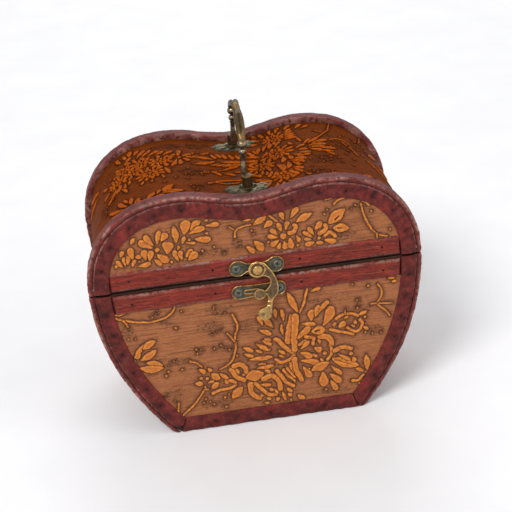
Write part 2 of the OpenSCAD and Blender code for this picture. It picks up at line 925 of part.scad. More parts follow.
module bedplate() {
    color("gainsboro") on_back_wall() difference() {
        union() {
            translate([-bed_w / 2, -bed_h / 2, 0]) cube([bed_w, bed_h, bed_t]);
            comb_ledge();
            bearing_post(right_bearing_u, 0, axis_h, 2);
            translate([barrel_u, 0, 0]) click_place() cylinder(r = 0.6, h = ratchet_h + ratchet_t);
            translate([stop_u, stop_v, 0]) cylinder(r = 1, h = stop_h + stop_t);
            for (v = [-1, 1]) translate([barrel_u, v * bridge_post_v, 0])
                cylinder(r = bridge_post_r, h = bridge_h);
        }
        translate([barrel_u, 0, -1]) cylinder(r = arbor_r + run_fit, h = bed_t + 2);
        along_u(right_bearing_u - 1, 0, axis_h) cylinder(r = shaft_r + run_fit, h = bearing_t + 2);
    }
}

module comb_ledge() {
    translate([cylinder_u - 1, comb_root, 0])
        cube([cylinder_l + 2, bed_h / 2 - comb_root, axis_h - comb_t / 2]);
}

module bearing_post(u, v, h, half) {
    translate([u, v - half, 0]) cube([bearing_t, 2 * half, h + half]);
}

module click_place() {
    rotate(click_angle) translate([click_r, 0, 0]) children();
}

module barrel_bridge() {
    color("silver") on_back_wall() difference() {
        union() {
            translate([barrel_u - bridge_w / 2, -bridge_post_v - bridge_end, bridge_h])
                cube([bridge_w, 2 * (bridge_post_v + bridge_end), bridge_t]);
            translate([barrel_u + bridge_w / 2 - bearing_t, -bridge_end, bridge_h + bridge_t])
                cube([bearing_t, 2 * bridge_end, axis_h + bridge_end - bridge_h - bridge_t]);
        }
        translate([barrel_u, 0, bridge_h - 1]) cylinder(r = arbor_r * 0.6 + run_fit, h = bridge_t + 2);
        along_u(barrel_u, 0, axis_h) cylinder(r = shaft_r + run_fit, h = bridge_w);
    }
}

// Barrel with crown teeth on its rim
module spring_barrel() {
    inner_r = barrel_r - barrel_wall;
    color("lightgray") on_back_wall() translate([barrel_u, 0, barrel_h]) {
        difference() {
            cylinder(r = barrel_r, h = barrel_l, $fn = 96);
            translate([0, 0, barrel_wall]) cylinder(r = inner_r, h = barrel_l - 2 * barrel_wall, $fn = 96);
            translate([0, 0, -1]) cylinder(r = arbor_r + run_fit, h = barrel_l + 2);
        }
        for (i = [0:crown_teeth - 1]) rotate(i * 360 / crown_teeth) crown_tooth();
    }
}

module crown_tooth() {
    root = PI * crown_module * 0.25;
    tip = PI * crown_module * 0.11;
    translate([crown_r - crown_w / 2, 0, barrel_l]) rotate([90, 0, 90]) linear_extrude(crown_w)
        polygon([[-root, -0.1], [root, -0.1], [tip, tooth_h], [-tip, tooth_h]]);
}

// Flat spiral spring between arbor and barrel wall
module mainspring() {
    turns = 6;
    steps = 20;
    strip = 0.35;
    r0 = arbor_r + 0.5;
    r1 = barrel_r - barrel_wall - strip / 2 - 0.15;
    spiral = [for (i = [0:turns * steps]) [r0 + (r1 - r0) * i / (turns * steps), 360 * i / steps]];
    outer = [for (p = spiral) polar(p[0] + strip / 2, p[1])];
    inner = [for (i = [len(spiral) - 1:-1:0]) polar(spiral[i][0] - strip / 2, spiral[i][1])];
    color("slategray") on_back_wall() translate([barrel_u, 0, barrel_h + barrel_wall + 0.2])
        linear_extrude(barrel_l - 2 * barrel_wall - 0.4) polygon(concat(outer, inner));
}

module winding_arbor() {
    tail = key_start - key_hub_l + 2;
    color("silver") on_back_wall() translate([barrel_u, 0, 0]) {
        translate([0, 0, tail]) cylinder(r = arbor_r, h = barrel_top + 0.2 - tail);
        cylinder(r = arbor_r * 0.6, h = bridge_h + bridge_t);
    }
}

module ratchet_wheel() {
    color("silver") on_back_wall() translate([barrel_u, 0, ratchet_h])
        linear_extrude(ratchet_t) difference() {
            polygon([
                for (i = [0:ratchet_teeth - 1], k = [0, 1])
                    polar(ratchet_r - k * ratchet_depth, 360 / ratchet_teeth * (i + 0.12 * k))
            ]);
            circle(r = arbor_r);
        }
}

// Pawl that rides on the ratchet's tips
module click_pawl() {
    tip = click_r - ratchet_r - 0.15;
    color("dimgray") on_back_wall() translate([barrel_u, 0, ratchet_h]) click_place()
        linear_extrude(ratchet_t) difference() {
            union() {
                circle(r = 1.4);
                polygon([[-0.2, -1.3], [0.6, 1.2], [-tip * 0.6, 1.5], [-tip, 0.35], [-tip * 0.9, -0.25]]);
            }
            circle(r = 0.6 + run_fit);
        }
}

module winding_key() {
    wing_r = key_w / 4;
    wing_z = key_l - wing_r - key_wing_drop;
    color("goldenrod") on_back_wall() translate([barrel_u, 0, key_start]) rotate([180, 0, 0]) {
        difference() {
            cylinder(r = key_hub_r, h = key_hub_l);
            translate([0, 0, -1]) cylinder(r = arbor_r, h = key_hub_l - 1);
        }
        rotate([90, 0, 0]) translate([0, 0, -key_t / 2]) linear_extrude(key_t) difference() {
            union() {
                for (side = [-1, 1]) translate([side * (key_w / 2 - wing_r), wing_z]) circle(r = wing_r);
                translate([-wing_r, key_hub_l - 2]) square([2 * wing_r, key_l - key_hub_l - wing_r + 2]);
                translate([-key_hub_r / 2, key_hub_l - 2]) square([key_hub_r, key_l - key_hub_l + 2]);
            }
            for (side = [-1, 1]) translate([side * (key_w / 2 - wing_r), wing_z]) circle(r = key_hole_r);
            translate([-key_hub_r - 0.1, 0]) square([2 * key_hub_r + 0.2, key_hub_l - 1.5]);
        }
    }
}

// Cylinder with its shaft, crown pinion and note pins
module music_cylinder() {
    pinion_u = barrel_u + crown_r - crown_w / 2;
    shaft_u = barrel_u + 2.8 - bearing_t;
    color("gold") on_back_wall() {
        along_u(cylinder_u, 0, axis_h) cylinder(r = cylinder_r, h = cylinder_l, $fn = 96);
        along_u(shaft_u, 0, axis_h) cylinder(r = shaft_r, h = right_bearing_u + bearing_t - shaft_u);
        along_u(pinion_u - 0.4, 0, axis_h) linear_extrude(crown_w + 0.8)
            gear_shape(pinion_teeth, crown_module, 180 / pinion_teeth);
        for (i = [0:notes - 1], k = [0:3]) {
            turn = (i * 137 + k * 89) % 360;
            along_u(note_u(i), 0, axis_h) rotate(turn)
                translate([cylinder_r - 0.1, 0, 0]) rotate([0, 90, 0])
                    cylinder(r = 0.2, h = pin_out + 0.1, $fn = 16);
        }
    }
}

module cylinder_wheel() {
    color("gold") on_back_wall() along_u(wheel_u, 0, axis_h) linear_extrude(wheel_t) difference() {
        gear_shape(wheel_teeth, train_module, train_slope - 90);
        circle(r = shaft_r);
    }
}

// Steel comb: a clamped root with one tapering tooth for each note
module music_comb() {
    left = cylinder_u - 1;
    right = left + cylinder_l + 2;
    clamp_v = bed_h / 2 - 0.2;
    root = note_pitch * 0.42;
    tip = note_pitch * 0.24;
    tooth = [[-root, comb_root], [-tip, comb_tip], [tip, comb_tip], [root, comb_root]];
    color("lightsteelblue") on_back_wall() translate([0, 0, axis_h - comb_t / 2]) linear_extrude(comb_t)
        difference() {
            polygon(concat(
                [[left, clamp_v], [left, comb_root]],
                [
                    for (i = [0:notes - 1], p = tooth)
                        [note_u(i) + p[0], p[1]]
                ],
                [[right, comb_root], [right, clamp_v]]
            ));
            for (u = comb_screw_us()) translate([u, comb_screw_v]) circle(r = 1, $fn = 24);
        }
}

// Place of a note along the cylinder
function note_u(i) = cylinder_u + 0.4 + note_pitch * (i + 0.5);

comb_screw_v = (comb_root + bed_h / 2) / 2;
function comb_screw_us() = [for (k = [0, 0.5, 1]) cylinder_u + 2 + k * (cylinder_l - 4)];

// Frame that carries the intermediate wheel and the worm
module governor_frame() {
    post_end = frame_post_u + frame_post_t;
    foot_v = worm_v - 2.4;
    color("silver") on_back_wall() difference() {
        union() {
            translate([left_bearing_u, foot_v, bed_t])
                cube([post_end - left_bearing_u, train_v + 2 - foot_v, frame_foot_t]);
            translate([0, 0, bed_t]) {
                governor_post(left_bearing_u);
                governor_post(frame_bearing_u);
            }
            translate([frame_post_u, worm_v - arm_w / 2, bed_t])
                cube([frame_post_t, arm_w, frame_top + arm_t - bed_t]);
            translate([worm_u - arm_w / 2, worm_v - arm_w / 2, frame_top])
                cube([post_end - worm_u + arm_w / 2, arm_w, arm_t]);
        }
        translate([worm_u, worm_v, bed_t - 0.1]) cylinder(r = shaft_r + run_fit, h = 2);
        translate([worm_u, worm_v, frame_top - 1]) cylinder(r = shaft_r + run_fit, h = 3);
        along_u(left_bearing_u - 1, train_v, train_h)
            cylinder(r = shaft_r + run_fit, h = frame_bearing_u + bearing_t + 2 - left_bearing_u);
    }
}

module governor_post(u) {
    translate([u, train_v - 1.5, 0]) cube([bearing_t, 3, train_h - bed_t + 1.5]);
}

module intermediate_wheel() {
    color("gold") on_back_wall() {
        along_u(left_bearing_u, train_v, train_h)
            cylinder(r = shaft_r, h = frame_bearing_u + bearing_t - left_bearing_u);
        along_u(wheel_u, train_v, train_h) linear_extrude(wheel_t)
            gear_shape(pinion_teeth, train_module, train_slope + 90 + 180 / pinion_teeth);
        along_u(worm_wheel_u, train_v, train_h) linear_extrude(worm_wheel_t)
            gear_shape(worm_wheel_teeth, worm_module, 90);
    }
}

// Two-start worm on a shaft, with a four-bladed air brake
module worm_and_fly() {
    turns = worm_l / worm_lead;
    in_mesh = -360 * (train_h - worm_h) / worm_lead;
    color("silver") on_back_wall() translate([worm_u, worm_v, 0]) {
        translate([0, 0, bed_t + run_fit]) cylinder(r = shaft_r, h = frame_top + arm_t - bed_t);
        translate([0, 0, worm_h]) rotate(in_mesh)
            linear_extrude(worm_l, twist = -360 * turns, slices = ceil(turns * 14), $fn = 1) worm_section();
        translate([0, 0, fly_h]) {
            cylinder(r = 1.5, h = fly_l);
            for (turn = [0, 90]) rotate(turn + 45)
                translate([-fly_r, -0.25, 0.4]) cube([2 * fly_r, 0.5, fly_l - 0.8]);
        }
        translate([0, 0, worm_h + worm_l]) cylinder(r = 1.3, h = fly_h - worm_h - worm_l);
    }
}

module worm_section() {
    core = worm_pitch_r - 0.6;
    crest = worm_pitch_r + 0.35;
    thread = [[-50, core], [-24, crest], [0, crest], [24, crest], [50, core], [77, core], [104, core]];
    polygon([
        for (start = [0, 180], side = thread)
            polar(side[1], start + side[0])
    ]);
}

// Lever on the bedplate: the rod presses one arm, and a pin on the other reaches
// down beside the air brake
module stop_lever() {
    pin_v = stop_v - 0.5;
    pin_u = worm_u - sqrt(pow(fly_r + brake_gap + brake_r, 2) - pow(worm_v - pin_v, 2));
    color("dimgray") on_back_wall() {
        translate([0, 0, stop_h]) linear_extrude(stop_t) difference() {
            union() {
                translate([stop_u, stop_v]) circle(r = 2);
                translate([rod_u - 1, stop_v - stop_arm_w / 2]) square([stop_arm + 1, stop_arm_w]);
                translate([stop_u, pin_v - brake_r - 0.1]) square([pin_u - stop_u, 2 * brake_r + 0.2]);
                translate([pin_u, pin_v]) circle(r = brake_r + 0.1);
            }
            translate([stop_u, stop_v]) circle(r = 1 + run_fit);
        }
        translate([pin_u, pin_v, fly_h + 1]) cylinder(r = brake_r, h = stop_h + stop_t - fly_h - 1);
    }
}

// Upright wire that the closed lid presses down on the lever
module stop_rod() {
    foot = stop_v + stop_arm_w / 2 + 0.1;
    top = lid_foot - arbor_z;
    color("silver") on_back_wall() translate([rod_u, foot, rod_h]) rotate([-90, 0, 0])
        cylinder(r = rod_r, h = top - foot);
}

// Batten in the lid that the rod's top meets
module lid_stop_block() {
    reach = rod_h + block_w / 2;
    color("burlywood") translate([bed_x + rod_u - block_w / 2, lining_y - reach, lid_foot + 0.3])
        cube([block_w, reach, block_h]);
}

// Clear cover over the movement, which guides the rod through its top
module clear_cover() {
    w = bed_w + 2 * cover_t + 1;
    h = bed_h + 2 * cover_t + 1;
    color([0.8, 0.85, 0.9, 0.35]) on_back_wall() difference() {
        translate([-w / 2, -h / 2, 0]) cube([w, h, cover_h + cover_t]);
        translate([-w / 2 + cover_t, -h / 2 + cover_t, -1])
            cube([w - 2 * cover_t, h - 2 * cover_t, cover_h + 1]);
        translate([rod_u, h / 2 - cover_t - 1, rod_h]) rotate([-90, 0, 0])
            cylinder(r = rod_r + run_fit, h = cover_t + 2);
    }
}

module movement_screws() {
    color("silver") {
        on_back_wall() for (u = comb_screw_us()) translate([u, comb_screw_v, axis_h + comb_t / 2])
            cylinder(r = 1.6, h = 0.8, $fn = 24);
        for (x = [bed_x - bed_w / 2 + 3, bed_x + bed_w / 2 - 3], v = [-1, 1])
            translate([x, panel_y, arbor_z + v * (bed_h / 2 - 3)]) rotate([-90, 0, 0])
                cylinder(r = 2.2, h = 1, $fn = 24);
    }
}

base_front_board();
base_back_board();
left_side_board();
right_side_board();
bottom_board();
base_lining();
base_front_panel();
base_back_panel();
side_panels();
base_front_band();
base_back_band();
base_edge_strips();
base_front_moulding();
base_back_moulding();
base_nails();
catch_plate();
catch_post();
lower_hinge_leaves();
hinge_pins();
base_screws();
lid_front_board();
lid_back_board();
lid_top_board();
lid_lining();
lid_front_panel();
lid_back_panel();
lid_top_panel();
lid_front_band();
lid_back_band();
lid_edge_strips();
lid_front_moulding();
lid_back_moulding();
lid_nails();
lid_stop_block();
latch_plate();
latch_rivet();
latch_hook();
upper_hinge_leaves();
lid_screws();
handle_rosettes();
handle_posts();
handle_arch();
bedplate();
barrel_bridge();
spring_barrel();
mainspring();
winding_arbor();
ratchet_wheel();
click_pawl();
winding_key();
music_cylinder();
cylinder_wheel();
music_comb();
governor_frame();
intermediate_wheel();
worm_and_fly();
stop_lever();
stop_rod();
clear_cover();
movement_screws();
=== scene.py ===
"""Looks of the wind-up music box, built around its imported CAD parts.

Sizes are in millimetres, in the part's own frame: X is the width, Y points to the back, Z is up.
MM turns them into metres where a mesh, a light or the camera is made.
"""

import json
import math

import bpy
import numpy as np
from mathutils import Matrix, Vector
from mathutils.geometry import delaunay_2d_cdt

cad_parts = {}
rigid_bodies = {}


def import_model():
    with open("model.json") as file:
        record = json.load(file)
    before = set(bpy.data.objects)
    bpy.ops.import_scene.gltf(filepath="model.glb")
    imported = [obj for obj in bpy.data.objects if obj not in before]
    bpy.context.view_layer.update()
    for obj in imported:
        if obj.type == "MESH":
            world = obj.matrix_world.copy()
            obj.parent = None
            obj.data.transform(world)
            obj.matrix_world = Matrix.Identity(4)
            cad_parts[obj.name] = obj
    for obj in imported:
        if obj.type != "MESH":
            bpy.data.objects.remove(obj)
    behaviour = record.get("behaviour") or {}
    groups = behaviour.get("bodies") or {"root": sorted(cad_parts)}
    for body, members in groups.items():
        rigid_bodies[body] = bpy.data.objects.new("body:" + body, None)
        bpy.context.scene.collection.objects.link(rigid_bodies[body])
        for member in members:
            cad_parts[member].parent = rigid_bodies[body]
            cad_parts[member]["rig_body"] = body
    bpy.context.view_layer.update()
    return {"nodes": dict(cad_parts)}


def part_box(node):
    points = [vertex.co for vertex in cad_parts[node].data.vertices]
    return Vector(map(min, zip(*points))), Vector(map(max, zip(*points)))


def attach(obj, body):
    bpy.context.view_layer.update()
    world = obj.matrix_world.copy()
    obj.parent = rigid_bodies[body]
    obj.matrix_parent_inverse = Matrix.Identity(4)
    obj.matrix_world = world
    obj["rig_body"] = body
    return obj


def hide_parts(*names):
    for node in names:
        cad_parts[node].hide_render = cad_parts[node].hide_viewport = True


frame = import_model()
MM = 0.001


def low(node):
    """Lowest corner of a CAD node in millimetres."""
    return [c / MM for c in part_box(node)[0]]


def high(node):
    """Highest corner of a CAD node in millimetres."""
    return [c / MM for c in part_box(node)[1]]


def middle_z(node):
    """Middle height of a CAD node."""
    return (low(node)[2] + high(node)[2]) / 2


# ------------------------------------------------------------ sizes

# Outline of the case, as in the part
HALF_W = 82
FOOT_HALF = 48
WIDEST_Z = 87.5
TAPER_CURVE = 179
LOBE_X = 36.5
CASE_H = 132
DIP = 5.3
LOBE_POWER = 0.91
OUTLINE_STEP = 0.5  # spacing of the points along it

# Layers, read from the frame
FACE_Y = -low("base_front_board")[1]
PANEL_Y = -low("base_front_panel")[1]
MOULDING_Y = -low("base_front_moulding")[1]
STRIP_Y = -low("base_edge_strips")[1]
STRIP_T = high("lid_edge_strips")[0] - HALF_W
BASE_TOP = high("base_front_board")[2]
LID_FOOT = low("lid_front_board")[2]
STRIP_W = 7
SKIN_T = high("lid_top_panel")[2] - CASE_H
BAND_W = 8.3
FOOT_BAND_H = 9.2
BASE_MOULDING = low("base_front_moulding")[2], high("base_front_moulding")[2]
LID_MOULDING = low("lid_front_moulding")[2], high("lid_front_moulding")[2]


# ------------------------------------------------------------ noise


def value_noise(x, y, seed):
    """Smooth noise from 0 to 1, one cell to each whole number."""
    xi, yi = np.floor(x).astype(np.int64), np.floor(y).astype(np.int64)
    fx, fy = x - xi, y - yi
    fx, fy = fx * fx * (3 - 2 * fx), fy * fy * (3 - 2 * fy)

    def corner(i, j):
        h = (xi + i) * 374761393 + (yi + j) * 668265263 + seed * 974634777
        h = ((h ^ (h >> 13)) * 1274126177) & 0x7FFFFFFF
        return ((h ^ (h >> 16)) & 0xFFFF) / 65535.0

    top = corner(0, 0) * (1 - fx) + corner(1, 0) * fx
    bottom = corner(0, 1) * (1 - fx) + corner(1, 1) * fx
    return top * (1 - fy) + bottom * fy


def fractal(x, y, seed, octaves=3):
    """Layered noise from about -1 to 1."""
    total, size = 0.0, 1.0
    for k in range(octaves):
        total = total + (value_noise(x * 2**k, y * 2**k, seed + k) - 0.5) * size
        size *= 0.5
    return total * 1.2


def smoothstep(a, b, x):
    """Eases from 0 at a to 1 at b."""
    t = np.clip((x - a) / (b - a), 0, 1)
    return t * t * (3 - 2 * t)


# ------------------------------------------------------------ outline


def half_outline():
    """Right half of the case's outline as x and z, from the ground to the middle of the dip."""
    end = math.asin(WIDEST_Z / TAPER_CURVE)
    width = (HALF_W - FOOT_HALF) / (1 - math.cos(end))
    t = np.linspace(end, 0, 160)[:-1]
    taper = np.stack([HALF_W - width + width * np.cos(t), WIDEST_Z - TAPER_CURVE * np.sin(t)], 1)
    t = np.linspace(0, math.pi / 2, 240)
    lobe_x = LOBE_X + (HALF_W - LOBE_X) * np.cos(t) ** LOBE_POWER
    lobe_z = WIDEST_Z + (CASE_H - WIDEST_Z) * np.sin(t) ** LOBE_POWER
    lobe = np.stack([lobe_x, lobe_z], 1)
    x = np.linspace(LOBE_X, 0, 60)[1:]
    dip = np.stack([x, CASE_H - DIP + DIP * (1 - np.cos(math.pi * x / LOBE_X)) / 2], 1)
    return np.concatenate([taper, lobe, dip])


def running_length(points):
    """Length along a line up to each of its points."""
    return np.concatenate([[0], np.cumsum(np.linalg.norm(np.diff(points, axis=0), axis=1))])


class Path:
    """A line of points in X and Z with its length and outward normals, sampled evenly."""

    def __init__(self, points, step):
        run = running_length(points)
        count = max(2, int(round(run[-1] / step)) + 1)
        self.s = np.linspace(0, run[-1], count)
        self.length = run[-1]
        self.p = np.stack([np.interp(self.s, run, points[:, k]) for k in (0, 1)], 1)
        along = np.gradient(self.p, self.s, axis=0)
        along /= np.linalg.norm(along, axis=1)[:, None]
        self.n = np.stack([-along[:, 1], along[:, 0]], 1)

    def at(self, s, out):
        """Points at lengths s, pushed outwards by out."""
        p = [np.interp(s, self.s, self.p[:, k]) for k in (0, 1)]
        n = [np.interp(s, self.s, self.n[:, k]) for k in (0, 1)]
        return p[0] + n[0] * out, p[1] + n[1] * out


def above(points, z):
    """The part of the half outline above a height that the tapering side passes."""
    first = np.argmax(points[:, 1] > z)
    x = np.interp(z, points[:first + 1, 1], points[:first + 1, 0])
    return np.concatenate([[[x, z]], points[first:]])


HALF = half_outline()
LID_HALF = above(HALF, LID_FOOT)
MIRROR_X = np.array([-1, 1])
LID_PATH = Path(np.concatenate([LID_HALF * MIRROR_X, LID_HALF[::-1][1:]]), OUTLINE_STEP)
BASE_HALF = np.concatenate([HALF[HALF[:, 1] < BASE_TOP], above(HALF, BASE_TOP)[:1]])
SIDE_PATH = Path(BASE_HALF[::-1], OUTLINE_STEP)


# ------------------------------------------------------------ meshes


def link(obj):
    """Puts an object into the scene."""
    bpy.context.scene.collection.objects.link(obj)
    return obj


def grid_quads(rows, cols, closed=False):
    """Corners of each cell of a grid; closed joins its last column to its first."""
    index = np.arange(rows * cols).reshape(rows, cols)
    if closed:
        index = np.concatenate([index, index[:, :1]], 1)
    return np.stack([index[:-1, :-1], index[:-1, 1:], index[1:, 1:], index[1:, :-1]], -1)


def grid_mesh(name, points, attributes=None, keep=None):
    """Mesh from a grid of points in millimetres, with one quad to each cell.

    attributes maps names to one number or three numbers per point; keep drops cells."""
    quads = grid_quads(*points.shape[:2])
    if keep is not None:
        quads = quads[keep]
    mesh = bpy.data.meshes.new(name)
    mesh.vertices.add(points.size // 3)
    mesh.vertices.foreach_set("co", (points.reshape(-1, 3) * MM).astype(np.float32).ravel())
    mesh.loops.add(quads.size)
    mesh.loops.foreach_set("vertex_index", quads.ravel().astype(np.int32))
    mesh.polygons.add(quads.size // 4)
    mesh.polygons.foreach_set("loop_start", np.arange(0, quads.size, 4, dtype=np.int32))
    mesh.update(calc_edges=True)
    for key, values in (attributes or {}).items():
        values = np.asarray(values, np.float32)
        vector = values.ndim == 3
        layer = mesh.attributes.new(key, "FLOAT_VECTOR" if vector else "FLOAT", "POINT")
        layer.data.foreach_set("vector" if vector else "value", values.ravel())
    mesh.validate()
    mesh.shade_smooth()
    return link(bpy.data.objects.new(name, mesh))


def finished(obj, material, node):
    """Gives a piece its material, and lets it stand for its CAD node on that node's body."""
    obj.data.materials.append(material)
    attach(obj, frame["nodes"][node]["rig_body"])
    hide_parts(node)


# ------------------------------------------------------------ ornament


def loop_through(points, steps=8):
    """Smooth open line through a few points."""
    p = np.array(points, float)
    ends = np.concatenate([[2 * p[0] - p[1]], p, [2 * p[-1] - p[-2]]])
    line = []
    for a, b, c, d in zip(ends, ends[1:], ends[2:], ends[3:]):
        for t in np.linspace(0, 1, steps, endpoint=False):
            bend = (2 * a - 5 * b + 4 * c - d) * t**2 + (3 * b - a - 3 * c + d) * t**3
            line.append(b + ((c - a) * t + bend) / 2)
    return np.array(line + [p[-1]])


class Relief:
    """Ornament raised on a sheet: each point holds its distance inside the nearest motif's edge.

    Motifs are drawn in order, and each cuts a dark outline into those under it."""

    SWELL = 0.24  # how much a petal is wider than drawn, on each side
    VEIN = 0.34
    WAVER, WAVER_LENGTH = 0.4, 2.6  # how unsteadily the lines run
    RISE, CROWN, HOLLOW = 0.56, 0.12, 0.26
    GROOVE, LIP, PIT = 0.34, 0.08, 0.16
    BARE = -6.0  # what the sheet holds before anything is drawn

    def __init__(self, u, v, seed, outline):
        self.u, self.v = u, v
        self.outline = outline
        self.seed = seed
        flat_u, flat_v = np.meshgrid(u, v)
        waves = flat_u / self.WAVER_LENGTH, flat_v / self.WAVER_LENGTH
        self.warped_u = flat_u + self.WAVER * fractal(*waves, seed)
        self.warped_v = flat_v + self.WAVER * fractal(*waves, seed + 7)
        self.motif = np.full(flat_u.shape, self.BARE)
        self.scorch = np.zeros(flat_u.shape)
        self.pits = np.zeros(flat_u.shape)

    def window(self, x, z, reach):
        """The part of the grid round a point, and where its points lie."""
        i = slice(*np.searchsorted(self.u, (x - reach, x + reach)))
        j = slice(*np.searchsorted(self.v, (z - reach, z + reach)))
        return (j, i), self.warped_u[j, i], self.warped_v[j, i]

    def lay(self, where, inside):
        """Lays a motif over the ones that are there."""
        old = self.motif[where]
        self.motif[where] = np.where(inside > -self.outline, inside, np.maximum(old, inside))

    def petal(self, x0, z0, x1, z1, width, bend=0.0, fullest=0.62, blunt=0.42):
        """A petal from its root to its tip; blunt is 0.3 for square tips and 1 for pointed ones."""
        length = math.hypot(x1 - x0, z1 - z0)
        along = (x1 - x0) / length, (z1 - z0) / length
        reach = length / 2 + width + abs(bend) * length + 2.5
        where, u, v = self.window((x0 + x1) / 2, (z0 + z1) / 2, reach)
        t = ((u - x0) * along[0] + (v - z0) * along[1]) / length
        side = (v - z0) * along[0] - (u - x0) * along[1] - 4 * bend * length * t * (1 - t)
        t01 = np.clip(t, 0, 1)
        root = (t01 / fullest).clip(0, 1) ** 0.65
        tip = (1 - ((t01 - fullest) / (1 - fullest)).clip(0, 1) ** 2) ** blunt
        half = (width / 2 + self.SWELL) * root * tip
        beyond = np.maximum(np.maximum(t - 1, -t), 0) * length
        inside = np.where(beyond > 0, -np.hypot(beyond, side), half - np.abs(side))
        ends = np.minimum(t, 1 - t) * length + 0.2
        self.lay(where, np.where(inside > 0, np.minimum(inside, ends.clip(0.05)), inside))

    def petals(self, *rows, **shape):
        """Petals of one shape, each with its root, tip and width."""
        for row in rows:
            self.petal(*row, **shape)

    def leaves(self, *rows, veins=False):
        """Pointed leaves, some with a dark middle vein."""
        for x0, z0, x1, z1, width, *bend in rows:
            lean = bend[0] if bend else 0.0
            self.petal(x0, z0, x1, z1, width, lean, 0.42, 0.8)
            if veins:
                dx, dz = x1 - x0, z1 - z0
                steps = (0.1, 0), (0.45, 1), (0.78, 0.7)
                bow = ((x0 + t * dx - dz * lean * k, z0 + t * dz + dx * lean * k) for t, k in steps)
                self.vein(self.VEIN, *bow)

    def distance(self, points):
        """Where a line runs, how near the grid is to it and how far along it."""
        line = loop_through(points)
        middle = line.mean(0)
        where, u, v = self.window(*middle, np.abs(line - middle).max() + 4)
        near = np.full(u.shape, 99.0)
        share = np.zeros(u.shape)
        for k, (a, b) in enumerate(zip(line, line[1:])):
            d = b - a
            t = np.clip(((u - a[0]) * d[0] + (v - a[1]) * d[1]) / (d @ d), 0, 1)
            gap = np.hypot(u - a[0] - t * d[0], v - a[1] - t * d[1])
            share = np.where(gap < near, (k + t) / (len(line) - 1), share)
            near = np.minimum(near, gap)
        return where, near, share

    def strokes(self, *rows, taper=0.15):
        """Curved strokes, each a width and the points it runs through, thinner towards its end."""
        for width, *points in rows:
            where, near, share = self.distance(points)
            self.lay(where, width / 2 * (1 - taper * share) - near)

    def vein(self, width, *points):
        """Cuts a dark line into what is there."""
        where, near, share = self.distance(points)
        self.motif[where] = np.minimum(self.motif[where], near - width / 2 * (1 - 0.5 * share))

    def berries(self, *places):
        """Round berries, each with its place and, if it isn't 0.6, its radius."""
        for x, z, *size in places:
            radius = size[0] if size else 0.6
            where, u, v = self.window(x, z, radius + 2.5)
            self.lay(where, radius - np.hypot(u - x, v - z))

    def stipples(self, *rows):
        """Rough scorched ovals of small pits: place, half sizes, pits and berries."""
        for x, z, wide, tall, count, berries in rows:
            random = np.random.default_rng(int(self.seed * 1000 + abs(x * 7 + z * 13)))
            where, u, v = self.window(x, z, max(wide, tall) * 1.6)
            spread = np.exp(-(((u - x) / wide) ** 2 + ((v - z) / tall) ** 2) * 1.3)
            self.scorch[where] = np.maximum(self.scorch[where], spread)
            for k in range(count + berries):
                a, r = random.uniform(0, 2 * math.pi), math.sqrt(random.uniform(0, 1))
                px, pz = x + wide * r * math.cos(a), z + tall * r * math.sin(a)
                if k < count:
                    where, u, v = self.window(px, pz, 1.4)
                    size = random.uniform(0.2, 0.45)
                    dot = smoothstep(size + 0.3, size - 0.2, np.hypot((u - px) / 1.4, v - pz))
                    self.pits[where] = np.maximum(self.pits[where], dot * random.uniform(0.4, 1))
                else:
                    self.berries((px, pz, random.uniform(0.35, 0.6)))

    def daisy(self, x, z, r, count, turn, width, heart):
        """One row of petals round a round heart."""
        for k in range(count):
            a = math.radians(turn + 360 * k / count)
            c, s = math.cos(a), math.sin(a)
            root = heart + 0.6
            self.petal(x + root * c, z + root * s, x + r * c, z + r * s, width, 0.04, 0.66)
        self.berries((x, z, heart))

    def flower(self, x, z, r, count, turn, width):
        """Two rows of petals round a small heart, the inner ones over the outer ones."""
        for row, (root, tip, shift) in enumerate(((0.5, 1.05, 0.0), (0.14, 0.66, 0.5))):
            for k in range(count):
                a = math.radians(turn + 360 * (k + shift) / count)
                c, s = r * math.cos(a), r * math.sin(a)
                reach = tip * (1 + 0.14 * math.sin(5.1 * k + 2.3 * row + x))
                breadth = width * (0.85 - 0.3 * row)
                self.petal(x + root * c, z + root * s, x + reach * c, z + reach * s, breadth, 0.06)
        self.berries((x, z, 0.13 * r))

    def height(self):
        """Height above the sheet in millimetres."""
        m = self.motif
        edge = self.RISE * smoothstep(-0.2, 0.3, m)
        crown = self.CROWN * smoothstep(0.3, 0.9, m) - self.HOLLOW * smoothstep(0.8, 1.9, m)
        groove = self.GROOVE * np.exp(-(((m + 0.32) / 0.24) ** 2))
        lip = self.LIP * np.exp(-(((m + 0.95) / 0.35) ** 2))
        return edge + crown + lip - groove - self.PIT * self.pits


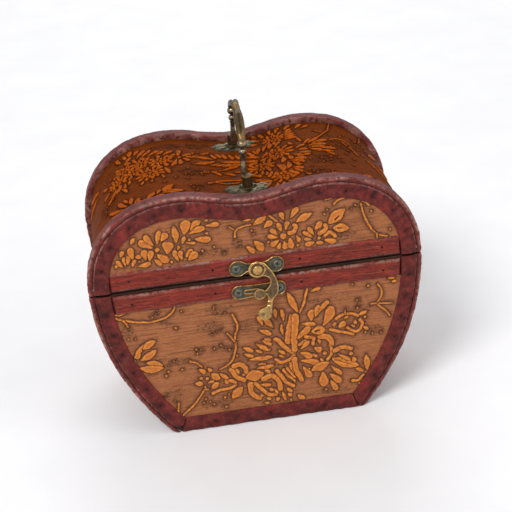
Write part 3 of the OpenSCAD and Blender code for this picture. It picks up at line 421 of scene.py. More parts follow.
def draw_base_face(r):
    """Tendrils and leaves on the left, a peony, a rose and a rosebud on the right."""
    r.stipples(
        (-53, 72.5, 4, 2, 8, 0), (-68.5, 65, 3.4, 4, 22, 0), (-49, 66.6, 4, 1.6, 10, 0),
        (-26, 61, 7, 4.6, 50, 3), (-21, 70, 7, 4, 26, 2), (-44, 43, 6, 2.6, 34, 0),
        (-33, 47.5, 3, 2, 10, 0), (-21, 47.5, 7, 2, 16, 0), (-49, 24, 7, 4.6, 26, 2),
        (-27, 15, 9, 3.6, 20, 0), (-9, 58, 6, 4, 20, 0), (50.5, 63, 2.4, 3.4, 16, 0),
        (27.5, 68, 3, 2, 10, 0), (58.5, 46, 5, 3, 34, 0), (36, 12, 8, 2, 14, 0),
    )
    # Left: tendril across the corner and two split leaves
    r.strokes(
        (
            1.3, (-74, 73.6), (-70, 71.8), (-65, 70.2), (-60, 69.2), (-55, 68.6), (-50.5, 69.3),
            (-47, 70.6), (-44.5, 72.6), (-43, 75.6),
        ),
        (1.1, (-69.6, 71.6), (-68.4, 69.5), (-67.3, 67.3)), (0.9, (-74, 75.4), (-71, 74.8), (-68, 75.7)),
        (
            1.2, (-14.6, 66.4), (-12.6, 60), (-14.2, 54), (-14.5, 50), (-15, 45), (-17, 40), (-20, 37),
            (-24, 35.3),
        ),
        (1.1, (-18.2, 56), (-16.6, 53.6), (-14.8, 50.6)), (1.2, (-39, 42.5), (-35.5, 41), (-33, 38.3)),
        (1.3, (-46.6, 10), (-40, 15.5), (-36, 20), (-33, 24.5), (-32.5, 26)),
        (1.1, (-33, 24.3), (-31, 24)), (1.1, (-48.4, 12.6), (-47.4, 18.6)),
    )
    r.strokes((3.2, (-65, 49.8), (-64, 52.6), (-61.4, 54.8), (-58, 56)), taper=0.3)
    r.leaves(
        (-62, 53.6, -54.6, 57.8, 3.6), (-64, 47, -54.8, 52.4, 3.4, -0.05),
        (-61.4, 45.4, -52.6, 42, 2.8, 0.07),
    )
    r.leaves((-65, 42.6, -52.4, 40.8, 4.4, -0.05), (-69, 49.4, -65.8, 44.8, 2))
    r.berries(
        (-43.8, 63.1, 0.75), (-54.8, 71.2), (-53, 73, 0.4), (-52, 74.6, 0.4), (-40, 72.3),
        (-50.6, 38.3, 0.75), (-51.8, 36, 0.75), (-43.2, 38.2, 0.7), (-47, 44), (-50, 41.5, 0.4),
        (-68.2, 60.4), (-64.8, 60.3, 0.45), (-66.2, 43.8, 0.7), (-23.6, 71), (-34.5, 46.5), (-35, 49),
        (-32.5, 48.7), (-25.5, 48.2), (-22, 49.5), (-19.7, 47.5), (-17.7, 46), (-14.3, 42),
        (-23, 17.8, 0.8), (-31, 16.3), (-34, 16.2), (-29, 14.5), (-23, 11.8, 0.8), (-20.8, 19.7),
        (-33, 18.5), (48, 74.3), (56, 72.3, 0.7), (50, 65), (50, 60.3), (57, 44), (61.5, 44),
        (53.3, 45.2), (53.5, 54.3, 0.8), (48.5, 14.5), (45, 33.5, 1.1), (30.5, 13.5, 0.8),
    )
    # Leaf spray that joins the rose
    r.petals(
        (-35, 37.3, -31.5, 34, 2.4), (-30, 37, -28.5, 34.5, 1.8), (-35.5, 31.8, -33.5, 31, 1.4),
        (-32, 31.5, -30.5, 30, 1.8), (-38, 29, -33.5, 28, 2.4), (-31, 28, -27.5, 28.8, 1.4),
        (-24.5, 33, -20, 28.5, 2.2), (-20.5, 28.5, -16, 25.5, 1.8), (-22.5, 28, -20, 26.5, 1.8),
        (-16.5, 35.5, -14, 31, 1.4), (-13, 30.2, -11.2, 29.8, 1.2), fullest=0.5,
    )
    r.leaves((-28.8, 33.3, -24.3, 29.3, 3.6), (-29.5, 24.5, -25, 27.5, 3.2), (-19.3, 16.4, -13, 23, 4.4))
    r.strokes(
        (1.9, (-29, 21.3), (-25, 22.8), (-20, 23), (-16.5, 24.3)),
        (3, (-18, 34), (-16, 29.5), (-12, 26.5)),
        (3, (-16.5, 36), (-13.5, 36.5), (-11, 34), (-10.5, 31.5)),
    )
    # Fronds between the rose and the peony
    r.petals(
        (-11, 46.5, -6, 43, 2.2), (-5, 44, -1.5, 41.5, 1.6), (-4, 47.5, 2, 42.5, 2.1),
        (-1, 49, 4, 45.5, 2), (0.5, 50, 4, 48, 1.8), (-11, 42.3, -6, 40, 2), (-9, 38.2, 4, 38.5, 2.3),
        (-4.5, 34.8, 0, 35, 1.2), (-5, 32.5, 4, 33, 2), (-1, 31.5, 2, 29, 2),
        (-1.8, 55.4, 4.6, 51.6, 2.2), (5.6, 55.2, 1, 62.4, 2.4), (0.4, 57.6, -2, 63.6, 1.8),
        (7.4, 60.6, 7.2, 66.8, 2), (11, 58.5, 10.8, 65.5, 1.9), (10, 50, 10, 57, 1.3),
        (7, 42, 11, 38.5, 1.4), (7, 38.8, 10, 36.8, 1.2), (5.3, 35, 6, 33.4, 1), fullest=0.5,
    )
    r.strokes((2.5, (6, 48.5), (8, 47), (11, 42.5), (15, 38.5)))
    r.strokes((2, (15, 37.5), (13, 35.5), (10, 34.2), (7.5, 34.5), (5.5, 36.5)))
    r.berries((2.8, 42.8), (10.3, 31.5), (43.5, 60.3, 0.45))
    # Peony: the big upright petal, a lobed leaf split by a dark vein, and curled petals round an open heart
    r.strokes(
        (3.4, (12.6, 46), (13.4, 51), (14.6, 55), (16.2, 60)),
        (3.2, (15.6, 41), (16, 48), (17, 55), (17.4, 60)), taper=-0.2,
    )
    r.petals(
        (25.6, 56.4, 26, 62.8, 3.8), (27.6, 58, 30.2, 65, 3.2), (29.4, 60.4, 35.2, 66.8, 3),
        (31.4, 52.6, 36.8, 63.4, 5, -0.06), (20, 55.5, 27.6, 54, 2.2), (17.2, 46.7, 24.6, 53, 3.6),
        (17, 43, 23.2, 45, 2.4), (18.5, 40.5, 23.7, 44.6, 2.2), (28, 45, 29.5, 42.3, 1.5),
        (26, 40.6, 29.6, 37.8, 3.4), (25, 37, 27, 34.3, 1.7), (18, 38.6, 24.7, 34.8, 3.2),
        (18, 34, 28.2, 30.7, 3), (28.4, 33.6, 30.6, 30.2, 1.7), (19.5, 30, 23.2, 22.6, 3.4),
        (29.4, 25.2, 30, 15.8, 4.6), (33, 23.2, 39.2, 16.8, 3.4), (34, 28, 39.7, 21.8, 2.4),
        (33.4, 19.2, 36.6, 12.3, 3), (22.4, 28.6, 23, 27.6, 1),
    )
    r.leaves((23.6, 26.6, 33.6, 30.2, 4.8))
    r.strokes(
        (2, (22, 47.5), (26, 46), (25.5, 42.5)), (3.4, (29.5, 46.5), (33, 45.5), (35, 43), (35, 40)),
        (1.9, (35, 39), (34.8, 35), (32.5, 32)), (3.2, (15.2, 35), (15.4, 29), (18, 22)),
        (1.6, (12.8, 33), (13, 29), (14, 26)),
    )
    r.petal(25, 50, 32.4, 50.4, 5, 0, 0.5)
    r.vein(1.4, (27.6, 49.8), (29.4, 50.2))
    r.vein(0.7, (27, 57), (31, 61), (35, 64.8))
    r.berries((31.3, 36, 1.2))
    r.leaves((34.6, 32.2, 49, 25.6, 5.4, -0.02), veins=True)
    r.leaves((53, 32, 53.4, 22, 2.8))
    r.petals(
        (37.5, 35, 44.7, 29.4, 1.8), (45.5, 31, 47.5, 28.3, 2.2), (46.8, 24.5, 51.2, 21.7, 1.8),
        fullest=0.5,
    )
    r.strokes((2.6, (36.5, 36.5), (41, 38.3), (45.4, 36.6)), (1.8, (45, 16.8), (48, 16.5), (51, 19.5)))
    # Second rose, under the fronds
    r.leaves((-11.4, 28.2, -1.2, 28.9, 6.4))
    r.strokes(
        (3.2, (-9, 23.5), (-9, 19), (-7, 16), (-5, 14.4)),
        (2.4, (-6.5, 23.5), (-3, 19.5), (0, 15.8), (4, 15)),
        (2.8, (-2, 25.5), (2, 27), (5, 25), (6.5, 21), (6.5, 18)),
        (2.3, (5.5, 29.5), (8, 25), (10, 21.5), (13.5, 19)), (1.6, (9, 29.5), (11.2, 25.6), (14.4, 21.6)),
        (1.5, (10.8, 30.4), (14.6, 23.8)),
    )
    r.petals(
        (-4, 22.5, 2, 21.5, 1.8), (1, 19.5, 2.6, 17.4, 1.6), (3.4, 19, 5, 15.4, 1.4),
        (-4.4, 16.4, -3.2, 15, 1.6), (-1.6, 13.5, 1.2, 12.8, 1.4), (-3, 11, 0.2, 10.5, 1.2),
        (7.5, 16.5, 8.5, 10.4, 1.7), (9.5, 18, 12.7, 15.4, 1.8), (10, 15, 12.2, 12.8, 1.8),
        (15, 13, 18.7, 9.9, 2.4), (10.8, 11.3, 12.2, 10, 1), (3.8, 12.8, 5.2, 11.2, 2), fullest=0.5,
    )
    # Rosebud with its leaves and the forked twig
    r.strokes(
        (1.8, (38.5, 55.5), (42, 57.5), (46.5, 57.5), (50, 55.5)),
        (1.9, (51, 53), (52, 50.5), (50.5, 47.5), (48, 46.5), (45.5, 48), (44, 49.5)),
        (1.9, (35, 49.5), (40, 47.5), (44, 46.2), (47, 44.8)),
        (1.2, (60, 62), (62.5, 65), (62.8, 69), (61.3, 72.4)), (1, (57, 61.3), (60, 61.5), (68, 60.3)),
        (1.2, (60.5, 60.5), (64, 57), (66.5, 53)), (1, (43.3, 57.5), (43.3, 59.4)),
        (1.4, (24.5, 75.4), (23, 69), (20, 62)),
    )
    r.petals(
        (52, 48.5, 55.2, 47, 1.8), (36.5, 51.5, 38.2, 53.5, 1.8), (39.5, 50, 43.2, 53.2, 3),
        (42.5, 55, 45.2, 56, 1.4), (48.5, 53.6, 48.3, 50.8, 1.6), (46, 51, 48, 49, 1),
        (26, 73.5, 31.7, 75, 1.8), (68, 73, 70.7, 72.5, 1.4), (66, 75, 70.2, 75, 1), fullest=0.5,
    )
    r.leaves((50.3, 56, 55, 57.8, 2), (14, 75.6, 19.2, 62, 3.1))


def draw_lid_face(r):
    """Chrysanthemums on the left, two daisies in the middle and a tendril on the right."""
    r.stipples(
        (-20, 103, 9, 2.6, 44, 3), (46.5, 102.6, 5, 2.4, 34, 0), (52, 117, 5, 1.6, 14, 0),
        (-8.4, 106, 2.6, 3, 26, 0), (4, 105, 4, 3, 8, 0), (37.6, 117, 2.4, 1.6, 8, 0),
    )
    r.vein(1.3, (-11.2, 110.6), (-11.3, 106), (-11.7, 101))
    # Flower at the left edge
    r.petals(
        (-65.6, 101, -68.8, 105.4, 2.1), (-69.4, 100.8, -68.8, 103.4, 1.5), (-66.6, 107, -64.3, 110.2, 2),
        (-64.4, 101.4, -65, 107, 1.8), (-63.4, 102, -62.3, 107.8, 2), (-60.4, 104.8, -61.2, 111.6, 3.2),
        (-61.6, 100.6, -59.2, 104.8, 1.8), (-60.5, 113, -58.4, 116.4, 1.9), (-58, 103.6, -57, 102.9, 0.9),
    )
    # Large chrysanthemum
    r.petals(
        (-49.8, 109.8, -56.4, 114.2, 3.3, 0.05), (-49.2, 110.8, -53.2, 117.2, 3, 0.08),
        (-47.8, 111.2, -45.9, 118.6, 2.6), (-45.6, 112.3, -42.6, 116.9, 3), (-54.6, 106, -59, 105.8, 2),
        (-53.8, 103.6, -54.6, 109.3, 3.4), (-52.3, 102.6, -50.8, 108.4, 2.8),
        (-58.6, 100.6, -51.6, 101.4, 2.4), (-49.9, 103.6, -46.6, 99.8, 2.5),
        (-48.2, 106.2, -43.2, 100.8, 3.8), (-43.3, 105.3, -42, 112.1, 5.8),
        (-42.4, 100.8, -41, 100.2, 1.3),
    )
    r.berries((-48, 108.4, 1.25), (-31.5, 111.6, 0.7))
    # Flower behind the moulding
    r.petals(
        (-38.4, 100, -40.1, 106.8, 2.5, -0.05), (-36.6, 101.2, -37, 106.4, 2.4),
        (-34.6, 102.2, -30.8, 106.6, 2.6), (-33.8, 100.4, -28.6, 104.2, 3.7),
        (-38.2, 106.8, -36.8, 109.2, 1.1),
    )
    # Upright flower
    r.leaves((-38.1, 110.6, -38.5, 120.2, 3))
    r.petals(
        (-34.2, 114.6, -32, 122.4, 5), (-30.8, 116.4, -25.4, 121, 2.8, 0.1),
        (-31.6, 114.2, -23.4, 117, 3.2, 0.08), (-29, 111.3, -21.2, 110.2, 3.3),
        (-34.4, 110.1, -28.2, 109.4, 1.1), (-35.5, 109.8, -33.7, 113.6, 1.9),
        (-24.2, 113.9, -22, 113.7, 1), (-24, 120.7, -21.3, 120.7, 1), (-23.2, 117.7, -16.2, 118, 2.3),
    )
    # Leaves and berries between the flowers
    r.petals(
        (0.1, 106.2, 4.1, 100.2, 3.7, 0.04), (-4.2, 103.8, -0.1, 99.7, 2.8), (5.6, 112.8, 9.9, 115.7, 3),
        (-5, 118, -0.4, 118.3, 1.3),
    )
    r.leaves((0.4, 115, 7.6, 119, 3.4), (21.6, 113.4, 29.9, 117.5, 3.2))
    r.strokes(
        (0.9, (-11.6, 115.4), (-8.7, 112.8)),
        (1.1, (-9.2, 109.6), (-8.6, 112.8), (-5, 114.9), (-1, 115.3)), (1.1, (8.7, 118.9), (12.4, 115.2)),
        (0.8, (37, 123.2), (41.5, 124)), (1.1, (41, 120.2), (43, 122.2), (46.8, 123.4)),
    )
    # Daisy in the middle
    r.petals(
        (14, 109, 12.5, 114.4, 2.2), (16, 109.6, 17.4, 114.7, 2.4), (12.2, 107.5, 8.5, 111.3, 2.1),
        (12.2, 106.2, 6.7, 107.8, 2.1), (12.6, 104.8, 7.8, 102, 2.7), (13, 103.4, 11.6, 99.8, 1.9),
        (15, 104, 15.4, 99.3, 2.5), (18, 105.2, 18.4, 99.2, 3.1), (21.3, 106.2, 22.7, 102.4, 1.8),
        (21, 101, 22.2, 100.2, 1.4), (7.5, 105.1, 6.5, 103.9, 1.1), (15.7, 115.1, 14.2, 120, 2.4),
        (18.8, 115.8, 22.9, 121.4, 2.6),
    )
    r.strokes((2.4, (18, 108), (20.4, 108.4), (21.4, 111), (20.6, 112)))
    r.berries((14.8, 106.5, 1.7))
    # Smaller daisy beside it
    r.petals(
        (30.1, 104.8, 27.5, 109.9, 2), (29.7, 103.5, 24.8, 107.6, 1.8), (29.2, 102.5, 25.2, 103.3, 1.5),
        (30.4, 101.2, 25.4, 99.8, 2.4), (34.8, 99.8, 31, 100.8, 1.8), (35, 101.6, 41, 99.7, 3),
        (30.8, 107.6, 34.2, 111.8, 2.8),
    )
    r.strokes(
        (2, (35.8, 103.8), (38, 105.4), (40, 104), (40.8, 102.6)),
        (2.4, (33, 105.4), (35.4, 106.4), (36.5, 108.2), (36, 109.8)),
    )
    r.berries(
        (32.6, 103, 0.9), (-26, 104.6), (-20, 105.8), (-6.8, 104), (-0.6, 112.2), (0.2, 110), (36, 115.8),
        (37.6, 118, 0.5),
    )
    # Two leaves and the tendril on the right
    r.leaves((37.6, 110.2, 46.4, 117.2, 5.4), (39.8, 107.8, 48, 106.3, 4.6))
    r.vein(0.9, (41.4, 112), (43.4, 113.8))
    r.vein(0.6, (42.4, 107.2), (44.4, 106.9))
    r.strokes(
        (1.2, (54.8, 118.8), (55.4, 114), (56.6, 109.5), (58.8, 105.2), (61, 102), (64, 100), (67, 99)),
        (1.1, (61.8, 101.4), (62, 99)), (1.3, (55.8, 120.4), (57.4, 119), (58.7, 117.3)),
    )
    r.berries((59.6, 113.9), (51.8, 118.4, 0.7), (68.8, 102.6), (49.6, 116.6, 0.4))


def draw_lid_top(r):
    """Dense sprays on the lid's top; the first coordinate runs along the skin from its middle."""
    # Left spray
    r.petals(
        (-62, 26, -65, 34, 2.2), (-58.6, 27, -60, 33, 1.8), (-57, 28, -56, 35, 2.8),
        (-54, 27, -51.6, 32, 2), (-60, 22, -56, 27, 2.2), (-62, 18, -66, 20, 1.6),
        (-53, 22, -48, 29, 2.2), (-50, 21, -44.6, 27, 2), (-47, 20, -40, 24, 2),
        (-43, 18, -38, 22.6, 1.8), (-39, 17, -33, 21.6, 2), (-36, 14, -31.6, 17, 1.6),
        (-56, 19, -60, 23, 1.8), (-53, 17, -55, 22, 1.8), bend=0.05,
    )
    r.flower(-61.5, 13.5, 6, 8, 10, 1.9)
    r.flower(-65.5, 4.5, 6.5, 9, 0, 1.9)
    r.flower(-55.5, 5.5, 6, 8, 22, 2)
    r.flower(-50.5, 13.5, 7, 9, 5, 2.1)
    r.flower(-40.6, 9.6, 6.8, 9, 15, 2)
    r.petals(
        (-63, -1, -66.6, -8, 2.2), (-66, -2, -70.4, -8.6, 2), (-61, -2, -62, -12, 1.7),
        (-64, -6, -60, -14.6, 1.4), (-58, -2, -58.6, -7, 1.6), (-69, -8, -73, -12, 1.6),
        (-72, 8, -76, 12, 1.5), (-71, 1, -75.6, -2, 1.5), bend=0.05,
    )
    r.flower(-46.6, -3.4, 7.6, 12, 8, 1.8)
    r.petals(
        (-39, 1, -36.4, -7.4, 2), (-41, -8, -39.6, -12.6, 1.4), (-46, -11.4, -46.6, -15, 1.1),
        (-50, -10.4, -52, -14, 1.2),
    )
    r.petals(
        (-30.6, 14, -29.8, 22.4, 2.4), (-29, 13.6, -23.6, 17.4, 2.2), (-28.6, 11.6, -25.4, 8, 2.3),
        (-30, 10, -30.6, 3, 2.2), (-31.8, 10.6, -35, 1.4, 2.3), (-33, 12.6, -37, 15, 1.6),
        (-27.6, 13.2, -22, 12.6, 1.4), bend=0.05,
    )
    r.berries((-30.4, 12, 1.1), (-22.6, 18.6, 0.8), (-20, 20.4), (-70, 16), (-74, 17.6))
    r.leaves(
        (-25, 14.2, -12, 11.4, 2.4, 0.06), (-24.4, 3.8, -11.4, 9, 2.8, -0.05),
        (-19, 16.6, -13.6, 21, 1.6, 0.05), veins=True,
    )
    # Spray at the front left
    r.petals(
        (-62.6, -33, -72.4, -24.4, 2.2), (-60.6, -32, -66, -21.6, 2.4), (-63, -35, -71, -31.6, 2),
        (-58.6, -32, -58, -25, 2.4), (-63, -37, -69.6, -37.4, 1.9), (-57, -34, -53.6, -29.6, 2),
        (-60, -28, -62.4, -22, 1.6), (-50, -34, -46, -29, 2.6), (-52, -36, -55, -31.4, 1.9),
        (-47, -35, -41, -33.6, 2.6), (-48, -37, -42.4, -38, 2.2), (-44, -29.6, -36, -23.6, 2.8),
        (-42, -30, -37, -27.6, 1.6), (-51, -37.6, -54, -38.6, 1.6), (-45, -31.4, -42.6, -27, 1.6),
        bend=0.05,
    )
    r.leaves((-42, -31.4, -31, -31.4, 3, 0.05), (-38, -36.4, -30, -36, 2, 0.05), veins=True)
    r.berries((-49.6, -35.6, 1), (-60.6, -35.6, 1.1), (-26, -27), (-24.6, -30), (-27.4, -24.4, 0.5))
    # Long petals left of the handle
    for k in range(7):
        r.petal(-21 + 1.9 * k, -9 + 0.9 * k, -13.6 + 2.2 * k, -3.4 + 0.8 * k, 1.6, 0.06)
    for k in range(5):
        r.petal(-15 + 3.1 * k, 3 - 0.3 * k, -9.4 + 3 * k, 5.8 - 0.2 * k, 1.5, -0.05)
    r.petals(
        (-9, 8.4, 2.6, 6.6, 2.8), (-11, 20, -8, 14.6, 1.9), (-7.6, 20, -5.4, 13, 2.1),
        (-4, 19, -2, 12, 2.1), (-0.6, 17, 1.2, 11, 1.8), (-13.6, 18.6, -10.8, 13, 1.7),
        (-15.6, -4.6, -10, -9.4, 1.5), (-9, -7, -3, -10, 1.5), (-3, -5.6, 3, -8, 1.6), bend=0.05,
    )
    r.strokes(
        (1.5, (-18, -21), (-12, -17.6), (-5, -16.4), (1, -17)),
        (1.1, (-15, -19), (-8, -20.4), (-2, -19.6)), taper=0.3,
    )
    # Roses right of the handle
    r.flower(11, -6, 8, 11, 4, 1.9)
    r.flower(21, 4.6, 8.2, 12, 14, 1.9)
    r.petals(
        (5.4, 17.6, 9.4, 9.4, 2.1), (8.4, 18, 12, 11.6, 1.9), (4.4, 11.4, 12, 6.4, 2),
        (3.6, 5.4, 10.6, 3, 1.9), (4, 0.4, 10, 0.6, 1.8), (12, 12.4, 13.4, 18.6, 2),
        (15, 12.6, 16.8, 19, 1.9), (18, 13, 20.4, 19.6, 2.4), (21, 12.4, 24.6, 18.6, 2.2),
        (13, 4, 16.6, 9, 1.7), (5, -14, 9.6, -17.4, 1.9), (4.4, -10.4, 6, -15, 1.8),
        (13, -13.4, 12.4, -17.4, 1.5), bend=0.08,
    )
    r.petals(
        (23, -2, 22.6, -8.6, 2.6), (26, -2.6, 27.4, -8.4, 2.4), (29, -3.4, 33.6, -7.6, 2.3),
        (28.4, -8, 34.4, -11.4, 2.4), (26.4, -10, 33, -14.6, 2.2), (19, -9.6, 22.6, -18.6, 3.8),
        (24.6, -10.6, 24.4, -17.4, 2.6), (27, -12, 30, -18.4, 2), (15.4, -15, 13, -20.6, 2.2),
        (18, -17, 15.4, -22, 2), (25.6, -18.6, 31.4, -22.6, 1.8), bend=0.07,
    )
    r.flower(20.4, -24.6, 6.4, 9, 0, 1.9)
    r.petals(
        (13, -24.4, 6, -20, 2.2), (14, -27, 10, -30.6, 1.8), (16, -30, 14.6, -36, 2),
        (19, -31.4, 18.4, -37, 1.8), (23.4, -30, 27.6, -27.6, 1.7), (23, -20.4, 27.6, -28.4, 2.2),
        (26, -19.6, 30, -27, 1.5), (11.4, -33, 13, -38, 1.6), (31, -29, 33.4, -32, 1), bend=0.06,
    )
    r.leaves((5.6, -22, 14.6, -27.6, 2.6, 0.06), (21, -32, 33, -36.8, 2.8, -0.04), veins=True)
    # Spray at the back
    r.flower(22, 25, 6.6, 10, 12, 1.9)
    for k in range(5):
        r.petal(27 + 0.4 * k, 19.6 + 2.3 * k, 34.6 - 0.5 * k, 18.6 + 3.3 * k, 1.9, 0.06)
    r.petals(
        (24, 31, 26.4, 37.4, 2.1), (21, 31.6, 21.4, 38, 1.9), (17.6, 30, 15.4, 37, 2.1),
        (15, 27, 10.4, 32.6, 2), (13.4, 23.6, 8.6, 26.6, 1.8), (29, 32, 33, 37.4, 1.9),
        (13.6, 32.4, 11.6, 37.6, 1.6), (35, 31, 39, 36.6, 2.2), (37.6, 30, 42.4, 33.6, 1.6), bend=0.05,
    )
    # Leaves and tendrils on the right
    r.petals(
        (36, 8.4, 41.4, 14, 2), (38.4, 8, 45, 15.4, 1.9), (40, 7.4, 49.4, 12.4, 2.5),
        (38, 5, 48, 6.4, 2.2), (37.6, 2.4, 47, 2.2, 2), (44, 0.6, 52.4, 0, 2), (37.6, 0, 45, -2.6, 1.9),
        (42, -3, 50, -4.6, 1.6), (31, 4, 36.6, 7.6, 2), (32, 1.6, 37, 0.6, 1.6), (32, -2.6, 38, -4, 2),
        (33, -6.6, 37.6, -6.6, 1.6), (36, 12, 34, 17.6, 1.5), (31, 10, 28.6, 14, 1.5),
        (46, -6, 50.6, -8.6, 1.2), (42, -36, 46, -33.6, 1.7), (46.6, -37.6, 51, -34.4, 1.7),
        (52, -37, 55.4, -34, 1.3), (38, -37, 40, -34, 1.3), bend=0.05,
    )
    r.strokes(
        (1.1, (45, 16), (48, 20), (52, 27), (54, 33), (55.4, 39)),
        (1.0, (51, 13.4), (56, 15.8), (60.6, 13.6), (63, 8)), (0.9, (58, 12), (62, 5), (64, -2)),
        (1.1, (70, -4), (80, -10), (92, -8), (100, 2)), (0.9, (45, 26), (48.6, 23)),
        (0.9, (66, 20), (72, 27), (74, 36)),
    )
    r.berries(
        (31, -17), (35.6, -22, 0.5), (38.6, -17.4, 0.5), (42, -13), (44.6, -17, 0.5), (47, -11.6),
        (51, -8, 0.5), (57, -5, 0.5), (60, -11), (34, -26, 0.5), (39.6, -27), (58, 20), (61, 24, 0.5),
        (52, 20, 0.5), (66, 8), (68, 2, 0.5), (58, -20, 0.5), (-22, -4, 0.5), (-27, -2), (-26, -9, 0.5),
        (-31, -6, 0.5), (-34, -14), (-28, -16, 0.5), (-40, -18, 0.5),
    )
    r.leaves(
        (60, -33.4, 66.6, -28.6, 3, 0.05), (67, -33, 74, -28, 3, 0.05), (74, 8, 82, 18, 4, 0.05),
        (78, 2, 90, 4, 4, 0.05), veins=True,
    )
    r.leaves((-80, 20, -92, 28, 4, 0.05), (-82, 14, -96, 14, 3.8, -0.05), veins=True)
    r.stipples(
        (56, 6, 8, 7, 60, 10), (-74, -14, 6, 9, 50, 8), (46, -14, 10, 6, 50, 8), (-24, -6, 8, 6, 54, 8),
        (-22, -27, 6, 4, 36, 5), (-20, 30, 7, 4, 34, 4), (70, 16, 7, 10, 50, 8), (38, -30, 8, 4, 40, 5),
        (-36, 30, 8, 4, 30, 4),
    )


def draw_side(r):
    """Spray on a side skin; the second coordinate runs down the skin from the joint."""
    r.strokes(
        (1.6, (-30, -6), (-22, -22), (-6, -34), (4, -52), (-4, -72), (-16, -84)),
        (1.4, (34, -10), (26, -22), (30, -38), (20, -50)),
    )
    for k in range(6):
        x, z = -26 + 5.4 * k, -14 - 4.8 * k
        r.leaves(
            (x, z, x - 7, z - 9 + k * 0.5, 4.6, 0.06), (x + 2, z + 1, x + 11, z + 4, 4.2, -0.05),
            veins=True,
        )
    r.daisy(10, -26, 11, 13, 5, 3.4, 2)
    r.daisy(8, -56, 12, 12, 12, 4.2, 2.2)
    r.daisy(-18, -62, 8, 10, 0, 3, 1.6)
    r.leaves(
        (20, -66, 30, -60, 5, 0.05), (20, -70, 31, -74, 5, 0.05), (-8, -76, 2, -84, 5, 0.05),
        (-26, -76, -34, -68, 5, 0.05), (22, -42, 32, -46, 5, 0.05), veins=True,
    )
    r.stipples(
        (-24, -40, 8, 7, 50, 7), (28, -84, 8, 4, 30, 5), (26, -12, 6, 5, 30, 5), (-10, -10, 7, 4, 24, 4),
    )


# ------------------------------------------------------------ embossed sheets

CLEAR = 0.4  # how far a sheet reaches under the bands round it
FACE_SINK, SKIN_SINK = 0.3, 0.25  # how deep a sheet's ground lies in its panel
FACE_OUTLINE, SKIN_OUTLINE = 0.36, 0.5  # how wide a motif clears the ones under it
FRONT_STEP, BACK_STEP, TOP_STEP, SIDE_STEP = 0.4, 0.5, 0.4, 0.55  # pitch of each sheet's grid


def sheet_attributes(relief, u, v):
    """What the embossed material reads: place on the sheet, motif, scorching and pits."""
    return {
        "sheet": np.stack([u, v, np.zeros_like(u)], -1),
        "motif": relief.motif,
        "scorch": relief.scorch,
        "pits": relief.pits,
    }


def flipped(points, attributes):
    """A grid read backwards, so that its faces look the other way."""
    return points[:, ::-1], {key: value[:, ::-1] for key, value in attributes.items()}


def rim_x(z, out):
    """Half width of the outline, pushed by out, at heights on the tapering side."""
    x, height = SIDE_PATH.at(SIDE_PATH.s, out)
    return np.interp(z, height[::-1], x[::-1])


def rim_z(x, out):
    """Height of the outline over x, pushed by out."""
    across, height = LID_PATH.at(LID_PATH.s, out)
    return np.interp(x, np.maximum.accumulate(across), height)


def face_sheet(name, draw, node, step, seed, lid=False, back=False):
    """Embossed panel on the front or back, reaching a little under its bands and moulding."""
    reach = HALF_W - BAND_W + CLEAR
    z0 = (LID_MOULDING[1] if lid else FOOT_BAND_H) - CLEAR
    z1 = CASE_H - BAND_W + CLEAR if lid else BASE_MOULDING[0] + CLEAR
    places = np.arange(-reach, reach + step, step), np.arange(z0, z1 + step, step)
    relief = Relief(*places, seed, FACE_OUTLINE)
    draw(relief)
    u, v = np.meshgrid(*places)
    out = PANEL_Y - FACE_SINK + relief.height() + 0.05 * fractal(u / 9, v / 5, seed + 40)
    side = 1 if back else -1
    points = np.stack([-side * u, side * out, v], -1)
    mid_u = (u[:-1, :-1] + u[1:, 1:]) / 2
    mid_v = (v[:-1, :-1] + v[1:, 1:]) / 2
    edge = -BAND_W + CLEAR
    keep = mid_v < rim_z(mid_u, edge) if lid else np.abs(mid_u) < rim_x(mid_v, edge)
    sheet = grid_mesh(name, points, sheet_attributes(relief, u, v), keep)
    finished(sheet, EMBOSSED, node)


def skin_sheet(name, draw, node, path, step, seed, side=1, middle=0.0):
    """Embossed skin down a side or, where middle is given, over the lid, between its edge strips."""
    s = np.arange(0, path.length + step, step).clip(0, path.length)
    half_depth = STRIP_Y - STRIP_W + CLEAR
    y = np.arange(-half_depth, half_depth + step, step)
    places = (s - middle, y) if middle else (y, -s[::-1])
    relief = Relief(*places, seed, SKIN_OUTLINE)
    draw(relief)
    u, v = np.meshgrid(*places)
    height = relief.height() + 0.06 * fractal(u / 9, v / 6, seed + 40)
    attributes = sheet_attributes(relief, u, v)
    if not middle:
        height = height[::-1].T
        attributes = {key: value[::-1].swapaxes(0, 1) for key, value in attributes.items()}
    x, z = path.at(s[None, :], SKIN_T - SKIN_SINK + height)
    points = np.stack([side * x, np.broadcast_to(y[:, None], x.shape), z], -1)
    if side < 0:
        points, attributes = flipped(points, attributes)
    finished(grid_mesh(name, points, attributes), EMBOSSED_SIDES, node)


# ------------------------------------------------------------ materials


def colour(rgb, scale=1):
    """Linear colour of an sRGB one, made darker or lighter by scale."""
    srgb = [c * scale / 255 for c in rgb]
    return [c / 12.92 if c <= 0.04045 else ((c + 0.055) / 1.055) ** 2.4 for c in srgb] + [1.0]


